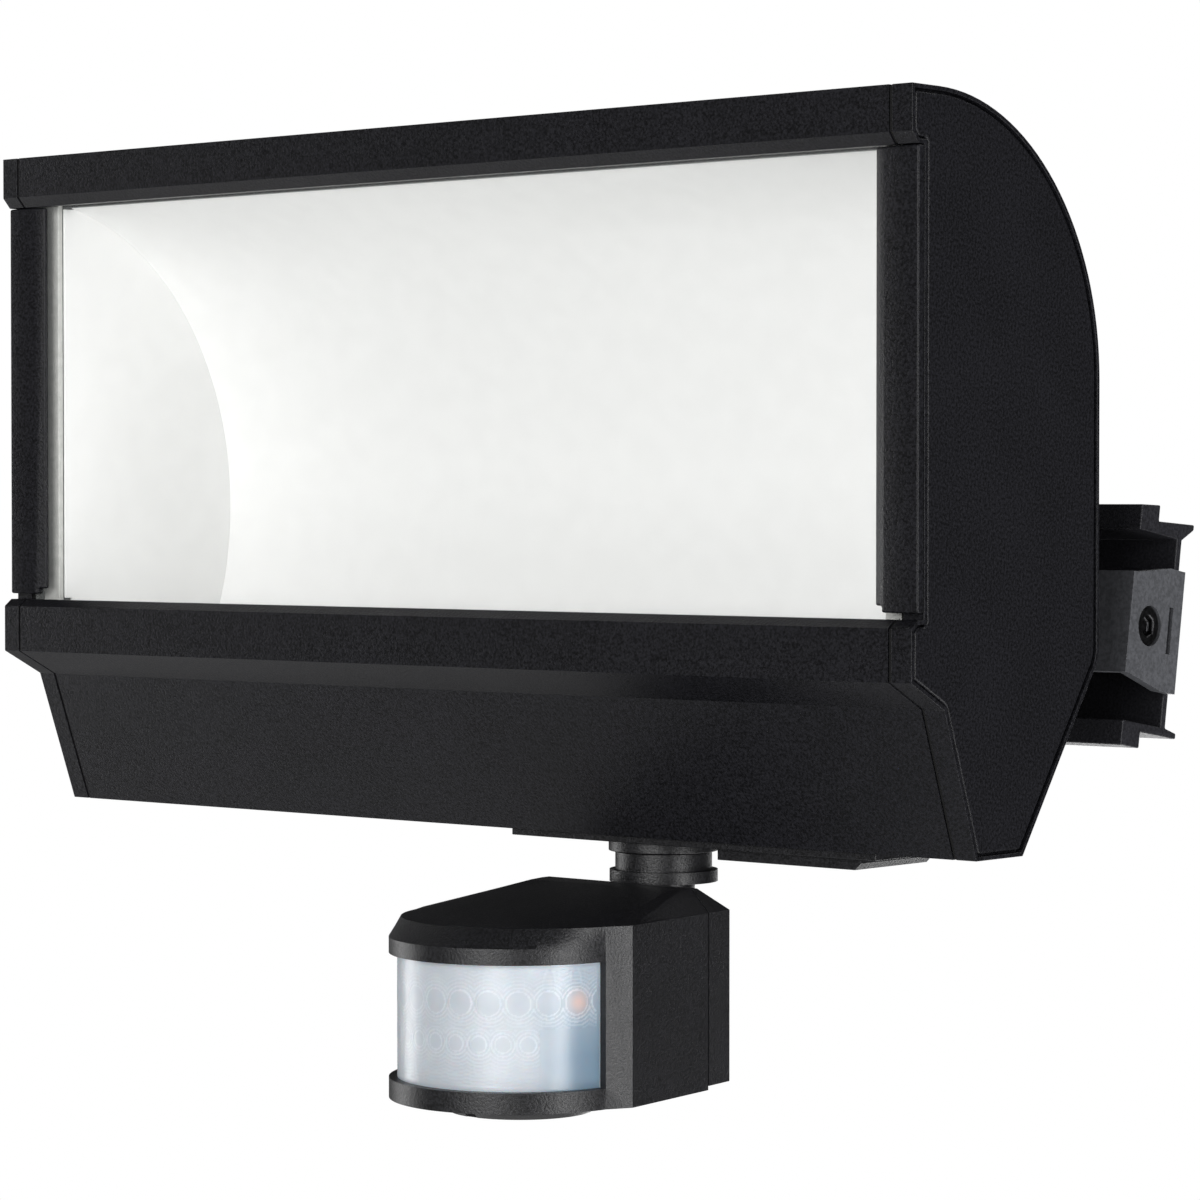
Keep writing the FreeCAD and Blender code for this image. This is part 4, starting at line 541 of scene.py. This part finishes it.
class FLOODLIGHT_OT_light_source(bpy.types.Operator):
    """Finishes the LED bar and driver and sets out the LED packages"""
    bl_idname = "floodlight.light_source"
    bl_label = "Light source"

    def execute(self, context):
        part_edge = 0.3 * MM
        for node in ("led_bar", "led_driver", "terminal_block", "led_bar_brackets"):
            softened(node, part_edge)
        painted("led_board", "driver_pad")
        low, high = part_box("led_chips")
        package, height, pitch = 3.0 * MM, 0.7 * MM, 15 * MM
        count = int(round((high.x - low.x - package) / pitch)) + 1
        middle = (low + high) / 2
        start = Vector((low.x + package / 2, middle.y, middle.z)) - LAMP_UP * height / 2
        # The block takes half of the package's height, and the dome stands in it and over it.
        block = 0.5 * height
        turned_out("led_packages", package_tree(), [(0, 0, block / 2)], {
            "Count": count, "Pitch": pitch, "Package Size": package, "Package Height": block,
        }, Matrix.Translation(start) @ LAMP_TILT, "led_chips")
        return {"FINISHED"}


class FLOODLIGHT_OT_bracket(bpy.types.Operator):
    """Finishes the wall rail, the pivots, the yoke and their bolts"""
    bl_idname = "floodlight.bracket"
    bl_label = "Wall bracket"

    def execute(self, context):
        edge = context.scene.floodlight_sizes.edge
        sheet_edge, pivot_edge, fastener_edge = 0.7 * edge, 0.5 * edge, 0.25 * MM
        softened("wall_rail", sheet_edge, 3)
        softened("yoke", sheet_edge, 3)
        for node in ("pivot_lug_left", "pivot_lug_right", "pivot_pin_left", "pivot_pin_right"):
            softened(node, pivot_edge)
        for node in ("pivot_nuts", "lug_rivet_heads", "yoke_bolts"):
            softened(node, fastener_edge)
        return {"FINISHED"}


class FLOODLIGHT_OT_sensor_mount(bpy.types.Operator):
    """Finishes the cable gland, the saddle under the lamp and the swivelling neck"""
    bl_idname = "floodlight.sensor_mount"
    bl_label = "Gland, saddle and neck"

    def execute(self, context):
        moulded_edge, nut_edge = 0.6 * context.scene.floodlight_sizes.edge, 0.3 * MM
        for node in ("sensor_base", "entry_cover", "neck"):
            softened(node, moulded_edge)
        for node in ("cable_gland", "gland_nut", "swivel_nut"):
            softened(node, nut_edge)
        return {"FINISHED"}


class FLOODLIGHT_OT_sensor_head(bpy.types.Operator):
    """Finishes the sensor head's shells, its disc of adjusters and the parts inside it"""
    bl_idname = "floodlight.sensor_head"
    bl_label = "Sensor head"

    def execute(self, context):
        shell_edge = 0.8 * context.scene.floodlight_sizes.edge
        plate_edge, small_edge = 0.3 * MM, 0.15 * MM
        softened("sensor_body", shell_edge, 3)
        softened("sensor_back_cover", shell_edge, 3)
        softened("dial_plate", plate_edge)
        for node in ("tilt_screw", "tilt_nut", "time_dial", "light_dial", "range_dial", "light_cell"):
            softened(node, small_edge)
        painted("potentiometers", "sensor_board", "motion_detector", "indicator_led")
        return {"FINISHED"}


class FLOODLIGHT_OT_sensor_lens(bpy.types.Operator):
    """Moulds the curved lens with two rows of ringed facets"""
    bl_idname = "floodlight.sensor_lens"
    bl_label = "Sensor lens"

    def execute(self, context):
        sizes = context.scene.floodlight_sizes
        pitch, depth = sizes.ring_pitch / MM, sizes.ring_depth / MM
        columns, rows = 300, 104
        angles = np.linspace(-LENS_HALF_ANGLE, LENS_HALF_ANGLE, columns)
        heights = np.linspace(LENS_BOTTOM, LENS_TOP, rows)
        angle, height = np.meshgrid(angles, heights)
        # Facets stand in an upper row all the way round and in a closer, shorter lower row.
        row_line, upper_height, lower_height = -196.6, -191.2, -199.9
        lower_reach, lower_spacing = math.radians(52), 0.83 * sizes.facet_angle
        upper = height > row_line
        lower = ~upper & (np.abs(angle) < lower_reach)
        step = np.where(upper, sizes.facet_angle, lower_spacing)
        along = (angle - np.round(angle / step) * step) * LENS_RADIUS
        centre = np.where(upper, upper_height, lower_height)
        from_centre = np.hypot(along, height - centre)
        # A plain eye in the middle of each facet, then rings at an even pitch.
        upper_eye, lower_eye = 2.5, 1.6
        eye = np.where(upper, upper_eye, lower_eye)
        phase = (np.maximum(from_centre - eye, 0.0) / pitch) % 1.0
        # The rims over and under the facets are plain, and so are the ends and the lower corners.
        rim, plain_end = 1.2, math.radians(3)
        margin = np.minimum(height - LENS_BOTTOM, LENS_TOP - height)
        at_end = np.abs(angle) > LENS_HALF_ANGLE - plain_end
        ringed = (margin >= rim) & ~at_end & (upper | lower) & (from_centre > eye)
        groove = np.where(ringed, phase, 0.0) * depth
        # Painted highlight on the bright part of each ring, weaker away from the eye, and on the top and end
        # edges.
        highlight_share, fade_start, fade_length, faintest = 0.42, 1.1, 4.0, 0.15
        fade = np.clip(fade_start - (from_centre - eye) / fade_length, faintest, 1.0)
        ring = np.where(ringed, (phase < highlight_share) * fade, 0.0)
        edge_height, edge_angle = 0.5, math.radians(1.6)
        edge_highlight = (LENS_TOP - height < edge_height) | (np.abs(angle) > LENS_HALF_ANGLE - edge_angle)
        ring = np.where(edge_highlight, 1.0, ring)
        # Painted shade: the sheet is drawn darker and bluer towards its ends, most of all low down.
        shade_from, shade_over = math.radians(44), math.radians(26)
        shade_at_top, shade_gain_down = 0.45, 0.75
        turn = np.clip((np.abs(angle) - shade_from) / shade_over, 0, 1)
        eased = turn * turn * (3 - 2 * turn)
        down = (LENS_TOP - height) / (LENS_TOP - LENS_BOTTOM)
        thin = eased * np.clip(shade_at_top + shade_gain_down * down, 0, 1)
        # The indicator lamp's gleam, a soft round spot.
        spot_angle, spot_size, spot_strength = math.radians(71), 2.2, 0.6
        spot_across, spot_up = (angle - spot_angle) * LENS_RADIUS, height - upper_height
        gleam = spot_strength * np.exp(-(spot_across / spot_size) ** 2 - (spot_up / spot_size) ** 2)
        outside = LENS_RADIUS - groove
        inside = np.full_like(outside, LENS_RADIUS - LENS_WALL)
        skins = [np.stack([NECK_ACROSS + radius * np.sin(angle),
                           LENS_AXIS_DEPTH - radius * np.cos(angle), height], axis=-1).reshape(-1, 3)
                 for radius in (outside, inside)]
        points = np.concatenate(skins) * MM
        count = columns * rows
        grid = np.arange(count).reshape(rows, columns)
        faces = [(grid[r, c], grid[r, c + 1], grid[r + 1, c + 1], grid[r + 1, c])
                 for r in range(rows - 1) for c in range(columns - 1)]
        inner = [tuple(count + i for i in reversed(face)) for face in faces]
        border = list(grid[0, :-1]) + list(grid[:-1, -1]) + list(grid[-1, :0:-1]) + list(grid[:0:-1, 0])
        walls = [(b, a, count + a, count + b) for a, b in zip(border, border[1:] + border[:1])]
        mesh = bpy.data.meshes.new("fresnel_lens")
        mesh.from_pydata(points.tolist(), [], [tuple(int(i) for i in f) for f in faces + inner + walls])
        # The outer skin carries the painted ring and edge highlights, the painted shade towards the ends and the
        # indicator's gleam.
        for name, values in (("ring", ring), ("thin", thin), ("indicator", gleam)):
            layer = mesh.attributes.new(name, "FLOAT", "POINT")
            both = np.concatenate([values.reshape(-1), np.zeros(count)]).astype(np.float32)
            layer.data.foreach_set("value", both)
        groove_edge = math.radians(40)
        mesh.transform(LAMP_FRAME)
        mesh.shade_smooth()
        mesh.set_sharp_from_angle(angle=groove_edge)
        new_piece("fresnel_lens", mesh, "sensor_lens")
        return {"FINISHED"}


class FLOODLIGHT_OT_screws(bpy.types.Operator):
    """Turns out the cross-recess screws of the sensor's rear cover and coats the other screws"""
    bl_idname = "floodlight.screws"
    bl_label = "Screws"

    def execute(self, context):
        head_radius = 2.1 * MM
        recess_share = 0.28  # the recess's width against the head's radius
        # The heads face the wall: a screw stands along +Z in its tree, and +Y of the upright lamp in place.
        turn = Vector((0, 0, 1)).rotation_difference(Vector((0, 1, 0))).to_matrix().to_4x4()
        places = [Vector((NECK_ACROSS + side * COVER_SCREW_ACROSS, COVER_SCREW_DEPTH, height))
                  for side in (-1, 1) for height in COVER_SCREW_HEIGHTS]
        points = [(turn.inverted() @ place) * MM for place in places]
        turned_out("back_cover_screws_cross", screw_tree(), points, {
            "Head Radius": head_radius, "Head Height": 1.3 * MM, "Shank Radius": 1.1 * MM,
            "Shank Length": 13.0 * MM, "Recess Width": recess_share * head_radius,
        }, LAMP_FRAME @ turn, "back_cover_screws")
        painted("entry_cover_screw", "rear_mount_screws", "end_cap_screws")
        return {"FINISHED"}


class FLOODLIGHT_OT_stage(bpy.types.Operator):
    """Sets up the pale floor, the soft lights, the surroundings and the camera"""
    bl_idname = "floodlight.stage"
    bl_label = "Stage"

    def execute(self, context):
        scene = context.scene
        scene.view_settings.view_transform = "Standard"
        self.lay_floor(scene)
        self.surround(scene)
        self.hang_lights(scene)
        self.place_camera(scene)
        return {"FINISHED"}

    def lay_floor(self, scene):
        """A round sheet of white paper under the lamp."""
        radius, forward, own_light, fibre_size = 2.6, 0.1, 0.28, 3 * MM
        floor_mesh = bpy.data.meshes.new("studio_floor")
        shape = bmesh.new()
        bmesh.ops.create_circle(shape, cap_ends=True, segments=96, radius=radius)
        shape.to_mesh(floor_mesh)
        shape.free()
        floor_mesh.transform(Matrix.Translation((0, -forward, -scene.floodlight_sizes.floor_drop)))
        floor = bpy.data.objects.new("studio_floor", floor_mesh)
        scene.collection.objects.link(floor)
        paper = bpy.data.materials.new("Matt paper, white")
        paper.use_nodes = True
        tree = paper.node_tree
        shader = tree.nodes["Principled BSDF"]
        place = add(tree, "ShaderNodeTexCoord").outputs["Object"]
        fibre = add(tree, "ShaderNodeTexNoise", {"Vector": place, "Scale": 1 / fibre_size, "Detail": 2.0})
        tone = add(tree, "ShaderNodeMix", {
            "Factor": fibre.outputs["Fac"], "A": linear("#f4f4f3"), "B": linear("#fafafa")}, data_type="RGBA")
        tree.links.new(tone.outputs["Result"], shader.inputs["Base Color"])
        shader.inputs["Roughness"].default_value = 0.9
        # A little light of its own keeps the paper pale out to its edge.
        shader.inputs["Emission Color"].default_value = linear("#ffffff")
        shader.inputs["Emission Strength"].default_value = own_light
        floor_mesh.materials.append(paper)

    def surround(self, scene):
        """A surround that looks white and lights the lamp only faintly."""
        white, looks, lights = (1, 1, 1, 1), 1.0, 0.06
        world = bpy.data.worlds.new("White surround")
        world.use_nodes = True
        scene.world = world
        tree = world.node_tree
        tree.nodes.clear()
        seen = add(tree, "ShaderNodeBackground", {"Color": white, "Strength": looks})
        cast = add(tree, "ShaderNodeBackground", {"Color": white, "Strength": lights})
        path = add(tree, "ShaderNodeLightPath")
        both = add(tree, "ShaderNodeMixShader", {
            0: path.outputs["Is Camera Ray"], 1: cast.outputs[0], 2: seen.outputs[0]})
        add(tree, "ShaderNodeOutputWorld", {"Surface": both.outputs[0]})

    def hang_lights(self, scene):
        """Soft boxes round the lamp, and the faint glow of its own LED bar."""
        # Name, direction it comes from (degrees round from the front and up), distance, width, height, watts.
        soft_lights = (
            ("key", 14, 4, 1.9, 1.3, 0.8, 27),
            ("window_fill", 20, -24, 2.0, 0.9, 0.6, 6),
            ("right_strip", 84, 2, 1.5, 0.35, 1.2, 16),
            ("right_low", 118, -34, 1.5, 0.8, 0.6, 10),
            ("left_strip", -82, 0, 1.4, 0.5, 1.0, 7),
            ("left_low", -95, -42, 1.4, 1.0, 0.7, 1.5),
            ("back_top", 178, 58, 1.8, 1.4, 0.9, 14),
            ("back_low", -165, -12, 1.8, 1.0, 0.9, 7),
        )
        aim = Vector((0.0, -0.12, -0.06))
        for name, azimuth, rise, distance, width, height, watts in soft_lights:
            a, e = math.radians(azimuth), math.radians(rise)
            towards = Vector((math.sin(a) * math.cos(e), -math.cos(a) * math.cos(e), math.sin(e)))
            lamp = self.area_light(scene, name, width, height, watts)
            lamp.rotation_mode = "QUATERNION"
            lamp.location = aim + towards * distance
            lamp.rotation_quaternion = (-towards).to_track_quat("-Z", "Y")
        # The glow shines up from the bar, lifts the top of the reflector and moves with the lamp.
        bar_length, bar_width, bar_watts = 240 * MM, 14 * MM, 0.009
        bar_place = (0, 25 * MM, -119 * MM)
        bar = self.area_light(scene, "led_glow", bar_length, bar_width, bar_watts)
        bar.matrix_world = LAMP_FRAME @ Matrix.Translation(bar_place) @ Matrix.Rotation(math.pi, 4, "X")
        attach(bar, "lamp_head")

    def area_light(self, scene, name, width, height, watts):
        """A rectangular soft box that lights the lamp and isn't seen itself."""
        light = bpy.data.lights.new(name, "AREA")
        light.shape = "RECTANGLE"
        light.size, light.size_y, light.energy = width, height, watts
        lamp = bpy.data.objects.new(name, light)
        lamp.visible_camera = False
        scene.collection.objects.link(lamp)
        return lamp

    def place_camera(self, scene):
        """A long lens, from the front right and a little below the lamp's middle."""
        lens = bpy.data.cameras.new("front_right_view")
        lens.lens = 119.66
        lens.sensor_width = 36.0
        lens.clip_start, lens.clip_end = 0.05, 20.0
        camera = bpy.data.objects.new("front_right_view", lens)
        # Where it stands, and its turn to the left and up from straight ahead at the lamp's own lean.
        stand = (0.62242, -0.7736336, -0.091363)
        yaw, pitch = 0.7124046, -0.0244331
        ahead = Vector((-math.sin(yaw) * math.cos(pitch), math.cos(yaw) * math.cos(pitch), math.sin(pitch)))
        right = Vector((math.cos(yaw), math.sin(yaw), 0.0))
        above = right.cross(ahead)
        view = Matrix((right, above, -ahead)).transposed().to_4x4()
        camera.matrix_world = Matrix.Translation(stand) @ LAMP_TILT @ view
        scene.collection.objects.link(camera)
        scene.camera = camera


STEPS = (
    FLOODLIGHT_OT_lamp_shell,
    FLOODLIGHT_OT_window,
    FLOODLIGHT_OT_light_source,
    FLOODLIGHT_OT_bracket,
    FLOODLIGHT_OT_sensor_mount,
    FLOODLIGHT_OT_sensor_head,
    FLOODLIGHT_OT_sensor_lens,
    FLOODLIGHT_OT_screws,
    FLOODLIGHT_OT_stage,
)


class FLOODLIGHT_PT_panel(bpy.types.Panel):
    """Lists the floodlight's steps, sizes and colours"""
    bl_label = "Floodlight"
    bl_idname = "FLOODLIGHT_PT_panel"
    bl_space_type = "VIEW_3D"
    bl_region_type = "UI"
    bl_category = "Floodlight"

    def draw(self, context):
        for group in (context.scene.floodlight_finish, context.scene.floodlight_sizes):
            box = self.layout.box()
            for name in group.bl_rna.properties.keys():
                if name not in ("rna_type", "name"):
                    box.prop(group, name)
        for step in STEPS:
            self.layout.operator(step.bl_idname)


CLASSES = (FloodlightFinish, FloodlightSizes, *STEPS, FLOODLIGHT_PT_panel)


def register():
    for kind in CLASSES:
        bpy.utils.register_class(kind)
    bpy.types.Scene.floodlight_finish = bpy.props.PointerProperty(type=FloodlightFinish)
    bpy.types.Scene.floodlight_sizes = bpy.props.PointerProperty(type=FloodlightSizes)


def unregister():
    del bpy.types.Scene.floodlight_finish
    del bpy.types.Scene.floodlight_sizes
    for kind in reversed(CLASSES):
        bpy.utils.unregister_class(kind)


def main():
    register()
    for step in STEPS:
        group, name = step.bl_idname.split(".")
        getattr(getattr(bpy.ops, group), name)()


if __name__ == "__main__":
    main()
